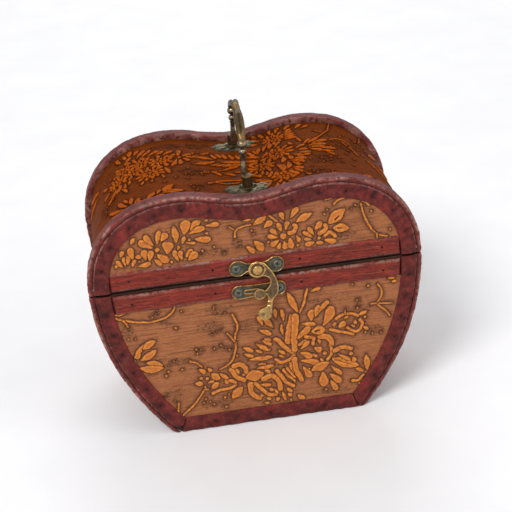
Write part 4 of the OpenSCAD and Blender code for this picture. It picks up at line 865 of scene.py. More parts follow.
class Paint:
    """Nodes of one material. Each call returns the output socket of the node it adds."""

    def __init__(self, name):
        self.material = bpy.data.materials.new(name)
        self.material.use_nodes = True
        self.tree = self.material.node_tree
        self.shader = self.tree.nodes["Principled BSDF"]

    def put(self, socket, value):
        if isinstance(value, bpy.types.NodeSocket):
            self.tree.links.new(value, socket)
        else:
            socket.default_value = value

    def add(self, kind, inputs=(), out=0, **settings):
        node = self.tree.nodes.new("ShaderNode" + kind)
        for key, value in settings.items():
            setattr(node, key, value)
        for key, value in dict(inputs).items():
            self.put(node.inputs[key], value)
        return node.outputs[out]

    def attribute(self, name, out="Fac"):
        return self.add("Attribute", out=out, attribute_name=name)

    def place(self):
        """Place on the object in millimetres."""
        return self.stretch(self.add("TexCoord", out="Object"), (1000, 1000, 1000))

    def stretch(self, vector, scale):
        return self.add("VectorMath", {0: vector, 1: scale}, operation="MULTIPLY")

    def noise(self, vector, scale, detail=4, rough=0.55, swirl=0.0):
        inputs = {"Vector": vector, "Scale": scale, "Detail": detail, "Roughness": rough, "Distortion": swirl}
        return self.add("TexNoise", inputs)

    def ramp(self, value, *stops):
        """Colours at places from 0 to 1 along a value; each stop is a place, a colour and its scale."""
        node = self.tree.nodes.new("ShaderNodeValToRGB")
        self.put(node.inputs[0], value)
        elements = node.color_ramp.elements
        while len(elements) < len(stops):
            elements.new(0.5)
        for element, (at, *shade) in zip(elements, stops):
            element.position = at
            element.color = colour(*shade)
        return node.outputs[0]

    def span(self, value, a, b, c=0.0, d=1.0):
        """Turns values from a to b into c to d."""
        return self.add("MapRange", {0: value, 1: a, 2: b, 3: c, 4: d})

    def mix(self, factor, a, b):
        return self.add("Mix", {0: factor, 6: a, 7: b}, out=2, data_type="RGBA")

    def coat(self, body, cover, rgb, scale=1):
        """Lays a colour over another as far as cover says."""
        return self.mix(cover, body, colour(rgb, scale))

    def plus(self, a, b):
        return self.add("Math", {0: a, 1: b}, operation="ADD")

    def times(self, a, b):
        return self.add("Math", {0: a, 1: b}, operation="MULTIPLY")

    def larger(self, a, b):
        return self.add("Math", {0: a, 1: b}, operation="MAXIMUM")

    def bump(self, height, millimetres):
        return self.add("Bump", {"Height": height, "Distance": millimetres * MM, "Strength": 1.0})

    def done(self, **sockets):
        for name, value in sockets.items():
            self.put(self.shader.inputs[name.replace("_", " ")], value)
        return self.material


def embossed_material(name, ground, streak, raised, centre, burnt, shine):
    """Grained veneer with dark lines burnt round brighter raised ornament.

    The motif attribute is positive inside a motif, and negative with the distance outside it."""
    p = Paint(name)
    sheet = p.attribute("sheet", "Vector")
    motif, scorch, pits = (p.attribute(key) for key in ("motif", "scorch", "pits"))
    # Ground: grain, fibres, clouds, darkening near the motifs and mottling
    grain = p.noise(p.stretch(sheet, (0.05, 1.1, 1)), 1, 6, 0.7, 0.5)
    fibres = p.noise(p.stretch(sheet, (0.2, 6, 1)), 1, 3)
    shade = p.noise(sheet, 0.5, 4)
    mottle = p.noise(p.stretch(sheet, (0.5, 1.4, 1)), 1, 5, 0.75)
    wood = p.ramp(grain, (0.36, streak), (0.5, ground), (0.68, ground, 1.08))
    wood = p.coat(wood, p.span(fibres, 0.54, 0.7, 0, 0.4), streak)
    wood = p.coat(wood, p.span(p.noise(sheet, 0.07, 3), 0.45, 0.75, 0, 0.4), streak)
    # Darker on the ground near the motifs
    darker_near_motifs = p.times(p.span(motif, -2.4, -0.6), p.span(shade, 0.3, 0.6, 0.3, 0.75))
    wood = p.coat(wood, darker_near_motifs, streak, 0.8)
    wood = p.coat(wood, p.span(mottle, 0.52, 0.66, 0, 0.5), streak, 0.72)
    wood = p.coat(wood, p.span(mottle, 0.46, 0.36, 0, 0.35), ground, 1.22)
    # Motif: a painted highlight just inside the edge, painted shade on the edge itself, darker streaks and a
    # darker middle
    fill = p.ramp(shade, (0.34, centre), (0.56, raised))
    streaks = p.noise(p.stretch(sheet, (0.7, 2.4, 1)), 1, 5, 0.7, 0.8)
    fill = p.coat(fill, p.span(streaks, 0.5, 0.64, 0, 0.75), centre, 0.72)
    # Darker middle, which leaves the ring inside the edge as a painted highlight
    fill = p.coat(fill, p.span(motif, 0.6, 1.4, 0, 0.75), centre)
    # Painted shade where the petal's edge slopes down to the ground
    fill = p.coat(fill, p.span(motif, 0.32, 0.0, 0, 0.7), centre, 0.62)
    inside = p.span(motif, -0.12, 0.08)
    body = p.mix(inside, wood, fill)
    # Burnt outline, scorched patches, a greyish halo of painted sheen beside the groove, and pits
    line = p.times(p.span(motif, -0.72, -0.38), p.span(motif, 0.08, -0.1))
    line = p.times(line, p.span(p.noise(sheet, 0.6, 4, 0.65), 0.36, 0.6, 0.25, 0.9))
    patch = p.times(p.span(scorch, 0.1, 0.9, 0, 0.6), p.span(motif, 0.1, -0.1))
    patch = p.times(patch, p.span(p.noise(sheet, 1.1, 4, 0.7), 0.42, 0.58))
    body = p.coat(body, p.larger(line, patch), burnt)
    # Painted sheen: a greyish ring on the ground just outside each groove
    painted_sheen = p.times(p.span(motif, -1.0, -0.8), p.span(motif, -0.45, -0.65))
    painted_sheen = p.times(painted_sheen, p.span(p.noise(sheet, 0.35, 3), 0.5, 0.62, 0, 0.6))
    body = p.coat(body, painted_sheen, [0.72 * c + 12 for c in ground])
    body = p.coat(body, p.times(pits, 0.7), burnt, 0.7)
    relief = p.plus(p.times(fibres, 0.6), p.times(p.noise(sheet, 3, 3), 0.4))
    return p.done(
        Base_Color=body, Roughness=p.span(inside, 0, 1, 0.55, 0.42), Specular_IOR_Level=shine,
        Normal=p.bump(relief, 0.14),
    )


def leather_material(name, deep, mid, red, scuffed, worn):
    """Crinkled dark red cloth, redder and browner in patches, paler on rubbed edges where an attribute says
    (partly wear, partly a painted highlight) and darker in creases as painted shade.
    """
    p = Paint(name)
    place = p.place()
    cloud = p.noise(place, 0.1, 4, 0.6)
    mottle = p.noise(place, 0.35, 5, 0.6, 0.5)
    body = p.ramp(mottle, (0.22, deep), (0.52, mid), (0.84, red))
    body = p.coat(body, p.span(cloud, 0.55, 0.7, 0, 0.5), red)
    body = p.coat(body, p.span(cloud, 0.45, 0.3, 0, 0.4), deep)
    body = p.coat(body, p.span(p.noise(place, 0.32, 6, 0.7), 0.54, 0.7, 0, 0.6), scuffed)
    # Painted shade in creases, dimples and seams
    body = p.coat(body, p.times(p.attribute("crease_shade"), 0.8), deep, 0.4)
    # Pale rubbed edges: partly wear, partly a painted highlight
    rub_and_sheen = p.times(p.attribute("wear_and_sheen"), p.span(p.noise(place, 0.45, 6, 0.7), 0.4, 0.56))
    body = p.coat(body, rub_and_sheen, worn)
    wrinkles = p.noise(place, 0.6, 5, 0.6, 1.2)
    pores = p.add("TexVoronoi", {"Vector": place, "Scale": 1.7}, out="Distance")
    return p.done(
        Base_Color=body, Roughness=p.span(mottle, 0.3, 0.7, 0.36, 0.52), Specular_IOR_Level=0.14,
        Normal=p.bump(p.plus(p.times(wrinkles, 0.7), p.times(pores, 0.3)), 0.55),
    )


def wood_material(name, deep, mid, light, scale=(0.02, 0.25, 0.25), swirl=1.5, gloss=0.45, worn=None):
    """Grained wood; scale stretches its grain, and worn adds a glaze that is rubbed through."""
    p = Paint(name)
    place = p.place()
    grain = p.noise(p.stretch(place, scale), 1, 6, 0.65, swirl)
    fine = p.noise(p.stretch(place, [12 * s for s in scale]), 1, 4)
    body = p.ramp(grain, (0.3, deep), (0.48, mid), (0.58, deep), (0.72, light))
    body = p.coat(body, p.span(fine, 0.5, 0.75, 0, 0.6), deep)
    if worn:
        glaze = p.noise(p.stretch(place, [2 * s for s in scale]), 1, 5, 0.7, 1)
        body = p.coat(body, p.span(glaze, 0.48, 0.62, 0, 0.75), deep, 0.72)
        body = p.coat(body, p.span(glaze, 0.42, 0.3, 0, 0.6), light)
        rub_and_sheen = p.times(p.attribute("wear_and_sheen"), p.span(p.noise(place, 0.5, 6, 0.7), 0.42, 0.56))
        body = p.coat(body, rub_and_sheen, worn)
    return p.done(
        Base_Color=body, Roughness=p.span(fine, 0.3, 0.7, gloss - 0.06, gloss + 0.1), Specular_IOR_Level=0.2,
        Normal=p.bump(fine, 0.15),
    )


def metal_material(name, bright, dull, tarnish_and_shade, rough, cover, scale=0.5, recess=True, brush=(1, 1, 1)):
    """Metal with tarnished patches, and dark where its recess attribute says, which is tarnished in some
    hollows and painted shade in others; brush stretches the specks.
    """
    p = Paint(name)
    place = p.place()
    patch = p.noise(place, scale, 5, 0.65, 0.6)
    speck = p.noise(p.stretch(place, brush), 2.6, 4, 0.7)
    cloud = p.times(p.span(speck, 0.5, 0.68), cover)
    if recess:
        cloud = p.larger(cloud, p.attribute("recess"))
    body = p.ramp(patch, (0.36, dull), (0.6, bright))
    body = p.mix(cloud, body, p.ramp(patch, (0.4, tarnish_and_shade), (0.62, tarnish_and_shade, 1.4)))
    return p.done(
        Base_Color=body, Metallic=p.span(cloud, 0, 1, 1, 0.72),
        Roughness=p.plus(p.span(speck, 0.3, 0.7, rough - 0.06, rough + 0.12), p.times(cloud, 0.18)),
        Normal=p.bump(speck, 0.03),
    )


def velvet_material(name, deep, light):
    """Short pile, paler at grazing angles."""
    p = Paint(name)
    place = p.place()
    pile = p.noise(place, 6, 3, 0.7)
    body = p.ramp(p.noise(place, 0.08, 3), (0.35, deep), (0.7, light))
    body = p.coat(body, p.span(pile, 0.35, 0.65, 0, 0.5), deep, 0.6)
    return p.done(
        Base_Color=body, Roughness=0.95, Sheen_Weight=0.6, Sheen_Roughness=0.4,
        Sheen_Tint=colour(light), Normal=p.bump(pile, 0.25),
    )


def plastic_material(name, shade):
    """Slightly cloudy opaque plastic."""
    p = Paint(name)
    fine = p.noise(p.place(), 1.5, 3)
    body = p.ramp(fine, (0.3, shade, 0.92), (0.7, shade))
    return p.done(Base_Color=body, Roughness=0.4, Normal=p.bump(fine, 0.02))


def clear_material(name):
    """Clear plastic with faint scuffs."""
    p = Paint(name)
    scuff = p.span(p.noise(p.place(), 1.2, 4), 0.5, 0.8, 0.03, 0.12)
    return p.done(Base_Color=colour((250, 252, 252)), Roughness=scuff, Transmission_Weight=1.0, IOR=1.49)


EMBOSSED = embossed_material(
    "embossed_face", (156, 98, 62), (118, 70, 46), (216, 134, 56), (178, 102, 48), (64, 40, 32), 0.12
)
# Darker than the face: partly the skin's own tone, partly painted shade on the top and sides
EMBOSSED_SIDES = embossed_material(
    "embossed_sides", (108, 48, 8), (72, 30, 4), (186, 90, 18), (136, 62, 10), (36, 14, 4), 0.01
)
# Its last colour is the pale of rubbed edges: partly wear, partly a painted highlight
LEATHER = leather_material(
    "leather_cloth", (60, 20, 18), (98, 37, 33), (142, 50, 44), (106, 66, 58), (164, 120, 108)
)
RED_WOOD = wood_material(
    "red_wood", (84, 28, 22), (140, 46, 32), (176, 84, 56), (0.05, 0.5, 0.5), 2.2, 0.42, (140, 108, 96)
)
# Kept dark as painted shade, so that the gap between lid and base shows black
FRONT_WOOD = wood_material("front_back_wood", (46, 27, 20), (66, 40, 28), (82, 52, 36))
BENT_WOOD = wood_material("bent_wood", (70, 44, 30), (92, 60, 40), (112, 76, 50), (0.3, 0.02, 0.3))
VELVET = velvet_material("velvet", (92, 14, 24), (140, 36, 44))

# Metals seen from outside: bright, dull and tarnished colour (the last also painted shade in some recesses),
# roughness, cover and scale of the tarnished patches
IRON = metal_material("nail_iron", (58, 38, 34), (34, 20, 18), (20, 12, 10), 0.45, 0.6, recess=False)
BRASS = metal_material("antique_brass", (214, 170, 92), (150, 108, 58), (46, 34, 26), 0.27, 0.4)
BRONZE = metal_material("dark_brass", (128, 106, 68), (82, 62, 36), (44, 33, 20), 0.34, 0.6)
GREEN_BRONZE = metal_material("rosette_brass", (126, 118, 92), (64, 58, 42), (20, 18, 14), 0.34, 0.6, 0.8)
WORN_BRONZE = metal_material("worn_brass", (150, 138, 112), (92, 74, 46), (40, 30, 20), 0.3, 0.55, 0.7)
PEWTER = metal_material("plate_brass", (176, 136, 76), (126, 92, 50), (58, 58, 50), 0.34, 0.15, 0.6)
HOOK_BRASS = metal_material("hook_brass", (206, 166, 104), (150, 114, 70), (84, 66, 46), 0.3, 0.15)
SCREW_METAL = metal_material("screw_brass", (116, 116, 106), (76, 77, 70), (34, 18, 14), 0.36, 0.3, 0.9)

# Metals and plastics of the movement
CAST = metal_material("cast_bed", (178, 178, 176), (140, 140, 138), (90, 88, 84), 0.45, 0.35, 0.4, False)
STEEL = metal_material(
    "bright_steel", (206, 208, 212), (170, 172, 176), (110, 108, 106), 0.24, 0.25, 0.6, False, (0.3, 2, 2)
)
SPRING_STEEL = metal_material(
    "spring_steel", (120, 124, 134), (84, 86, 96), (50, 44, 40), 0.28, 0.3, 0.5, False
)
MOVEMENT_BRASS = metal_material(
    "movement_brass", (232, 192, 110), (204, 160, 82), (128, 90, 46), 0.24, 0.3, 0.5, False
)
FLY_PLASTIC = plastic_material("fly_plastic", (226, 224, 214))
CLEAR_PLASTIC = clear_material("clear_plastic")


# ------------------------------------------------------------ panels and skins

face_sheet("base_front_sheet", draw_base_face, "base_front_panel", FRONT_STEP, 11)
face_sheet("base_back_sheet", draw_base_face, "base_back_panel", BACK_STEP, 12, back=True)
face_sheet("lid_front_sheet", draw_lid_face, "lid_front_panel", FRONT_STEP, 13, lid=True)
face_sheet("lid_back_sheet", draw_lid_face, "lid_back_panel", BACK_STEP, 14, lid=True, back=True)
skin_sheet("lid_top_sheet", draw_lid_top, "lid_top_panel", LID_PATH, TOP_STEP, 15, middle=LID_PATH.length / 2)
skin_sheet("side_sheet_right", draw_side, "side_panels", SIDE_PATH, SIDE_STEP, 17)
skin_sheet("side_sheet_left", draw_side, "side_panels", SIDE_PATH, SIDE_STEP, 15, side=-1)


# ------------------------------------------------------------ bands, strips and mouldings

CLOTH_FOOT = FACE_Y + 0.25  # where the cloth of a band starts, and how it rises from there
CLOTH_RISE, CLOTH_CROWN, CLOTH_ROLL = 1.15, 0.55, 0.75
TUCK_DEPTH, NAIL_PULL, NAIL_REACH = 0.4, 0.42, 1.7
CORNER_R = 0.9  # rounding of an edge strip
# Shares of a band's width where it is sampled, close together at its edges
ACROSS = np.concatenate([[0, 0.012, 0.024, 0.036], np.linspace(0.07, 0.78, 13), np.linspace(0.82, 1, 9)])
BACKWARDS, FORWARDS = slice(None, None, -1), slice(None)


def islands(node):
    """Box of each separate part of a CAD node, in millimetres."""
    mesh = frame["nodes"][node].data
    co = np.zeros(len(mesh.vertices) * 3)
    mesh.vertices.foreach_get("co", co)
    co = co.reshape(-1, 3) / MM
    _, group = np.unique(np.round(co, 3), axis=0, return_inverse=True)
    group = group.ravel()
    pairs = group[np.array([list(e.vertices) for e in mesh.edges])]
    label = np.arange(group.max() + 1)
    while True:
        least = label[pairs].min(1)
        new = label.copy()
        np.minimum.at(new, pairs[:, 0], least)
        np.minimum.at(new, pairs[:, 1], least)
        if (new == label).all():
            break
        label = new
    part = label[group]
    return [(co[part == k].min(0), co[part == k].max(0)) for k in np.unique(part)]


def heads(node):
    """X, Z, depth and side of each nail or screw of a CAD node; side is -1 in front and 1 behind."""
    places = []
    for lo, hi in islands(node):
        side = -1 if lo[1] < 0 else 1
        places.append(((lo[0] + hi[0]) / 2, (lo[2] + hi[2]) / 2, min(abs(lo[1]), abs(hi[1])), side))
    return places


def dimples(x, z, nails):
    """How far the cloth is drawn in round its nails."""
    pull = np.zeros(np.shape(x))
    for nx, nz in nails:
        pull = np.maximum(pull, np.exp(-((np.hypot(x - nx, z - nz) / NAIL_REACH) ** 2)))
    return pull


def cloth_band(name, x, z, along, across, nails, side, node):
    """A band of crinkled cloth drawn over the edge of a face.

    x and z hold the grid, along is the millimetres down it, and across goes from 0 inside to 1 outside."""
    seed = 50 + int(abs(along[0, 0]) + len(name))
    wall = smoothstep(0, 0.035, across) * smoothstep(0, 0.5, np.minimum(along, along.max() - along))
    crown = CLOTH_CROWN * np.sin(math.pi * np.clip(across, 0, 1)) ** 0.7
    roll = CLOTH_ROLL * smoothstep(0.9, 1.02, across) ** 1.6
    wide_tucks = value_noise(along / 3.1, across * 0.6, seed)
    tucks = wide_tucks * 0.6 + value_noise(along / 1.4, across, seed + 1) * 0.4
    puckers = smoothstep(0.62, 0.36, tucks) * smoothstep(0.35, 1.0, across)
    pull = dimples(x, z, nails)
    y = CLOTH_FOOT + CLOTH_RISE * wall + crown * wall - roll - TUCK_DEPTH * puckers - NAIL_PULL * pull
    hem = 0.1 * smoothstep(0.1, 0.16, across) * smoothstep(0.26, 0.2, across)
    y += 0.14 * fractal(along / 2.2, across * 3, seed + 2) + hem
    # Pale on the outer roll: partly wear, partly a painted highlight where the roll catches the light
    wear_and_sheen = smoothstep(0.88, 0.99, across) * value_noise(along / 9, across, seed + 5) * 1.1
    # Painted shade in the puckers, round the nails and along the band's inner foot
    crease_shade = np.clip(puckers * 0.7 + pull * 0.8 + (1 - wall), 0, 1)
    points = np.stack([x, side * y, z], -1)
    finished(grid_mesh(name, points, {"wear_and_sheen": wear_and_sheen, "crease_shade": crease_shade}), LEATHER, node)


def base_bands(side, face, nails, rows=190, columns=220):
    """Two bands down the sides of a face and one along its foot, mitred at the corners."""
    node = f"base_{face}_band"
    t = np.broadcast_to(ACROSS, (rows, len(ACROSS)))
    start = FOOT_BAND_H * (1 - t)
    z = start + (BASE_TOP - start) * np.linspace(0, 1, rows)[:, None]
    x = np.stack([rim_x(z[:, k], -BAND_W * (1 - v)) for k, v in enumerate(ACROSS)], 1)
    for hand, word in ((1, "right"), (-1, "left")):
        order = FORWARDS if hand * side < 0 else BACKWARDS
        along = z + 3 * hand - start * 0.2
        grids = [grid[:, order] for grid in (hand * x, z, along, t)]
        cloth_band(f"{node}_{word}", *grids, nails, side, node)
    reach = np.array([rim_x(FOOT_BAND_H * (1 - v), -BAND_W * (1 - v)) for v in ACROSS])
    share = np.linspace(-1, 1, columns)
    x = share[None, :] * (reach[:, None] - 0.15)
    z = np.broadcast_to(FOOT_BAND_H * (1 - ACROSS)[:, None], x.shape)
    along = np.broadcast_to((share[None, :] + 1) * FOOT_HALF, x.shape)
    t = np.broadcast_to(ACROSS[:, None], x.shape)
    order = BACKWARDS if side < 0 else FORWARDS
    cloth_band(f"{node}_foot", *(grid[order] for grid in (x, z, along, t)), nails, side, node)


def lid_band(side, face, nails, rows=430):
    """One band over both lobes of a face of the lid."""
    s = np.linspace(0, LID_PATH.length, rows)
    lines = [LID_PATH.at(s, -BAND_W * (1 - v)) for v in ACROSS]
    x = np.stack([line[0] for line in lines], 1)
    z = np.stack([line[1] for line in lines], 1)
    along, t = np.broadcast_to(s[:, None], x.shape), np.broadcast_to(ACROSS, x.shape)
    order = FORWARDS if side > 0 else BACKWARDS
    node = f"lid_{face}_band"
    cloth_band(f"{node}_cloth", *(grid[:, order] for grid in (x, z, along, t)), nails, side, node)


def strip_section():
    """Section of an edge strip, as distances out from the outline and in from its outer face."""
    arcs = []
    for in_from, first in ((CORNER_R, -90), (STRIP_W - CORNER_R, 0)):
        for a in np.radians(np.linspace(first, first + 90, 7)):
            arcs.append((STRIP_T - CORNER_R + CORNER_R * math.cos(a), in_from + CORNER_R * math.sin(a)))
    flat = [(out, 0.0) for out in np.linspace(0.1, STRIP_T - CORNER_R - 0.2, 4)]
    top = [(STRIP_T, y) for y in np.linspace(CORNER_R + 0.5, STRIP_W - CORNER_R - 0.5, 8)]
    inner = [(out, STRIP_W) for out in np.linspace(STRIP_T - CORNER_R - 0.4, SKIN_T - 0.4, 4)]
    return np.array(flat + arcs[:7] + top + arcs[7:] + inner)


def edge_strip(name, place, length, side, hand, node, pitch=0.7):
    """Padded strip round the edge of the case; place maps lengths and distances out to x and z."""
    section = strip_section()
    s = np.linspace(0, length, int(length / pitch))
    along, k = np.meshgrid(s, np.arange(len(section)), indexing="ij")
    out, depth = section[k, 0], section[k, 1]
    seed = 80 + len(name) + hand
    bump = 0.26 * fractal(along / 4, depth / 3, seed) + 0.16 * fractal(along / 1.3, depth / 2, seed + 3)
    ends = smoothstep(0, 1.4, np.minimum(along, length - along))
    rim = smoothstep(SKIN_T, STRIP_T, out)
    x, z = place(along, out + (bump - 0.6 * (1 - ends) - 0.12) * rim)
    y = STRIP_Y - depth - 0.25 * np.abs(bump) * (1 - rim)
    corner = np.exp(-(((out - STRIP_T + 0.4) / 0.8) ** 2)) * np.exp(-((depth / 1.0) ** 2))
    lip = smoothstep(STRIP_W - 1.3, STRIP_W - 0.4, depth)
    # Pale on the outer corner and the inner lip: partly wear, partly a painted highlight
    corner_wear_and_sheen = 1.3 * corner * value_noise(along / 7, along * 0, seed + 1)
    wear_and_sheen = np.clip(corner_wear_and_sheen + 0.8 * lip * value_noise(along / 5, depth, seed + 2), 0, 1)
    # Painted shade in dents and along the strip's seam with the band
    crease_shade = smoothstep(-0.35, -0.8, bump * 2.2) * 0.8 + 0.9 * smoothstep(0.8, 0.1, out)
    points = np.stack([hand * x, side * y, z], -1)
    attributes = {"wear_and_sheen": wear_and_sheen, "crease_shade": np.clip(crease_shade, 0, 1)}
    if hand * side < 0:
        points, attributes = flipped(points, attributes)
    finished(grid_mesh(name, points, attributes), LEATHER, node)


def down_the_side(s, out):
    """Where lengths down the tapering side and distances out from it lie in x and z."""
    z = BASE_TOP * (1 - s / BASE_TOP)
    x = np.stack([rim_x(z[:, k], 0) for k in range(z.shape[1])], 1)
    slope = np.gradient(rim_x(z[:, 0], 0), z[:, 0])
    return x + out * np.hypot(1, slope)[:, None], z


def moulding_bar(name, z0, z1, side, node, columns=260):
    """Rounded wooden bar across a face."""
    q = np.concatenate([[0, 0.01], np.linspace(0.04, 0.96, 20), [0.99, 1]])
    height = z0 + (z1 - z0) * q
    reach = rim_x(height, -BAND_W - 0.4)[:, None]
    x = np.linspace(-1, 1, columns)[None, :] * reach
    z = np.broadcast_to(height[:, None], x.shape)
    from_middle = np.abs(2 * q - 1)[:, None]
    profile = (1 - from_middle**6) ** 0.5
    ends = smoothstep(0, 0.9, reach - np.abs(x)) ** 0.5
    seed = 120 + len(name)
    y = PANEL_Y - 0.6 + (MOULDING_Y - PANEL_Y + 0.55) * profile * ends
    y = y + 0.05 * fractal(x / 6, z / 1.5, seed) * ends
    edge = smoothstep(0.7, 0.97, from_middle)
    wear_and_sheen = np.clip(edge * value_noise(x / 8, z, seed + 1) * 1.6, 0, 1)
    points, attributes = np.stack([x, side * y, z], -1), {"wear_and_sheen": wear_and_sheen}
    if side > 0:
        points, attributes = flipped(points, attributes)
    finished(grid_mesh(name, points, attributes), RED_WOOD, node)


base_nails, lid_nails = heads("base_nails"), heads("lid_nails")
for side, face in ((-1, "front"), (1, "back")):
    base_bands(side, face, [(x, z) for x, z, _, at in base_nails if at == side])
    lid_band(side, face, [(x, z) for x, z, _, at in lid_nails if at == side])
    moulding_bar(f"base_{face}_bar", *BASE_MOULDING, side, f"base_{face}_moulding")
    moulding_bar(f"lid_{face}_bar", *LID_MOULDING, side, f"lid_{face}_moulding")
    edge_strip(f"lid_{face}_strip", LID_PATH.at, LID_PATH.length, side, 1, "lid_edge_strips")
    for hand, word in ((1, "right"), (-1, "left")):
        edge_strip(f"base_{face}_strip_{word}", down_the_side, BASE_TOP, side, hand, "base_edge_strips")


# ------------------------------------------------------------ turned and stamped metal


def ring_of(count):
    """Even angles round a circle."""
    return np.linspace(0, 2 * math.pi, count, endpoint=False)


def lathe(profile, at, axis, sides=48):
    """Turned shape; profile rows are a radius, a distance along the axis and, if wanted, the recess."""
    axis = np.array(axis, float)
    first = np.array([0, 0, 1.0]) if abs(axis[2]) < 0.5 else np.array([1.0, 0, 0])
    second = np.cross(axis, first)
    a = ring_of(sides)
    ring = np.cos(a)[:, None] * first + np.sin(a)[:, None] * second
    points = [np.array(at) + row[1] * axis + max(row[0], 1e-4) * ring for row in profile]
    recess = [row[2] if len(row) > 2 else 0 for row in profile]
    return np.concatenate(points), tube_faces(len(profile), sides), np.repeat(recess, sides)


def tube_faces(rows, cols):
    """Quads of rows of points, each closed into a ring."""
    return grid_quads(rows, cols, closed=True).reshape(-1, 4)


def joined(name, parts, material, node, sharp=40):
    """One piece from several lists of points, faces and recess; edges over sharp degrees stay sharp."""
    points, faces, recess, start = [], [], [], 0
    for part_points, part_faces, part_recess in parts:
        points.append(part_points)
        faces += [tuple(start + k for k in face) for face in part_faces]
        recess.append(part_recess)
        start += len(part_points)
    mesh = bpy.data.meshes.new(name)
    mesh.from_pydata((np.concatenate(points) * MM).tolist(), [], faces)
    layer = mesh.attributes.new("recess", "FLOAT", "POINT")
    layer.data.foreach_set("value", np.concatenate(recess).astype(np.float32))
    mesh.validate()
    mesh.shade_smooth()
    mesh.set_sharp_from_angle(angle=math.radians(sharp))
    finished(link(bpy.data.objects.new(name, mesh)), material, node)


def resample(loop, spacing):
    """Evenly spaced points round a closed outline."""
    closed = np.concatenate([loop, loop[:1]])
    run = running_length(closed)
    s = np.linspace(0, run[-1], int(run[-1] / spacing), endpoint=False)
    return np.stack([np.interp(s, run, closed[:, k]) for k in (0, 1)], 1)


def edge_distance(points, loop):
    """Distance from points to a closed outline."""
    a, b = loop, np.roll(loop, -1, axis=0)
    d = b - a
    p = points[:, None, :]
    t = np.clip(((p - a) * d).sum(-1) / (d * d).sum(-1), 0, 1)
    return np.hypot(*np.moveaxis(p - a - t[..., None] * d, -1, 0)).min(1)


def within(points, loop):
    """True for the points inside a closed outline."""
    x, y = points[:, :1], points[:, 1:]
    a, b = loop, np.roll(loop, -1, axis=0)
    crosses = ((a[:, 1] > y) != (b[:, 1] > y)) & (
        x < (b[:, 0] - a[:, 0]) * (y - a[:, 1]) / (b[:, 1] - a[:, 1] + 1e-12) + a[:, 0]
    )
    return crosses.sum(1) % 2 == 1


def turning(loop):
    """Above 0 where a closed outline runs anticlockwise."""
    after = np.roll(loop, -1, axis=0)
    return (loop[:, 0] * after[:, 1] - loop[:, 1] * after[:, 0]).sum()


INSETS = 0.12, 0.3, 0.5, 0.7, 0.9, 1.1  # rings of points inside a stamped outline
INNER_FIELD = 1.3  # how far inside it the even grid of points starts


def stamped(loop, y, thickness, relief, side=-1, spacing=0.4, bend=None):
    """A flat metal part on a face.

    relief gives its height and recess from x, z and the distance inside its outline, and bend how far
    it is set out at each height."""
    loop = resample(loop, spacing)
    tangent = np.roll(loop, -1, axis=0) - np.roll(loop, 1, axis=0)
    tangent /= np.linalg.norm(tangent, axis=1)[:, None]
    normal = np.stack([-tangent[:, 1], tangent[:, 0]], 1)
    probe = loop[0] + normal[0] * 0.05
    if not within(probe[None], loop)[0]:
        normal = -normal
    field = [loop]
    for inset in INSETS:
        ring = loop + normal * inset
        field.append(ring[(edge_distance(ring, loop) > inset * 0.97) & within(ring, loop)])
    lo, hi = loop.min(0), loop.max(0)
    gx, gz = np.meshgrid(np.arange(lo[0], hi[0], spacing), np.arange(lo[1], hi[1], spacing))
    inner = np.stack([gx.ravel(), gz.ravel()], 1)
    inner = inner[within(inner, loop)]
    field = np.concatenate(field + [inner[edge_distance(inner, loop) > INNER_FIELD]])
    edges = [(k, (k + 1) % len(loop)) for k in range(len(loop))]
    flat, _, faces, *_ = delaunay_2d_cdt([Vector(p) for p in field], edges, [], 1, 1e-5)
    flat = np.array([tuple(p) for p in flat])
    inside = edge_distance(flat, loop)
    height, recess = relief(flat[:, 0], flat[:, 1], inside)
    out = bend(flat[:, 1]) if bend else 0
    front = np.stack([flat[:, 0], side * (y + thickness + out + height), flat[:, 1]], 1)
    back = np.stack([flat[:, 0], side * (y + out + 0 * height), flat[:, 1]], 1)
    count = len(flat)
    rim = np.flatnonzero(inside < 1e-4)
    ring = [int(rim[np.argmin(np.hypot(*(flat[rim] - p).T))]) for p in loop]
    faces = [tuple(face) for face in faces]
    if turning(flat[list(faces[0])]) * side > 0:
        faces = [face[::-1] for face in faces]
    walls = [(i, j, j + count, i + count) for i, j in zip(ring, ring[1:] + ring[:1])]
    if turning(loop) * side > 0:
        walls = [wall[::-1] for wall in walls]
    backs = [tuple(k + count for k in face[::-1]) for face in faces]
    return np.concatenate([front, back]), faces + walls + backs, np.concatenate([recess, recess])


# ------------------------------------------------------------ nails and screws

NAIL_R, NAIL_RISE = 0.7, 0.45
SCREW_R, BACK_SCREW_R = 2.2, 1.5
SLOT_HALF = 0.24


def dome(x, z, y, side):
    """Domed head of a nail."""
    arc = [(NAIL_R * math.cos(a), NAIL_RISE * math.sin(a)) for a in np.linspace(0.15, math.pi / 2, 6)]
    return lathe([(NAIL_R, -0.3), (NAIL_R, 0.02), *arc], (x, side * y, z), (0, side, 0), 16)


def disc(x, z, r):
    """Outline of a round head."""
    a = ring_of(40)
    return np.stack([x + r * np.cos(a), z + r * np.sin(a)], 1)


def screw(x, z, y, r, turn, side):
    """Flat screw with a crossed slot."""
    c, s = math.cos(turn), math.sin(turn)

    def head(px, pz, inside):
        u, v = np.abs((px - x) * c + (pz - z) * s), np.abs((pz - z) * c - (px - x) * s)
        arm = np.minimum(np.maximum(u - SLOT_HALF, v - 1), np.maximum(v - SLOT_HALF, u - 1))
        slot = smoothstep(0.1, -0.08, arm)
        height = 0.3 * smoothstep(0, 0.5, inside) - 0.3 * slot
        return height, np.maximum(slot, 0.8 * smoothstep(0.12, 0.02, inside))

    return stamped(disc(x, z, r), y, 0.05, head, side, 0.14)


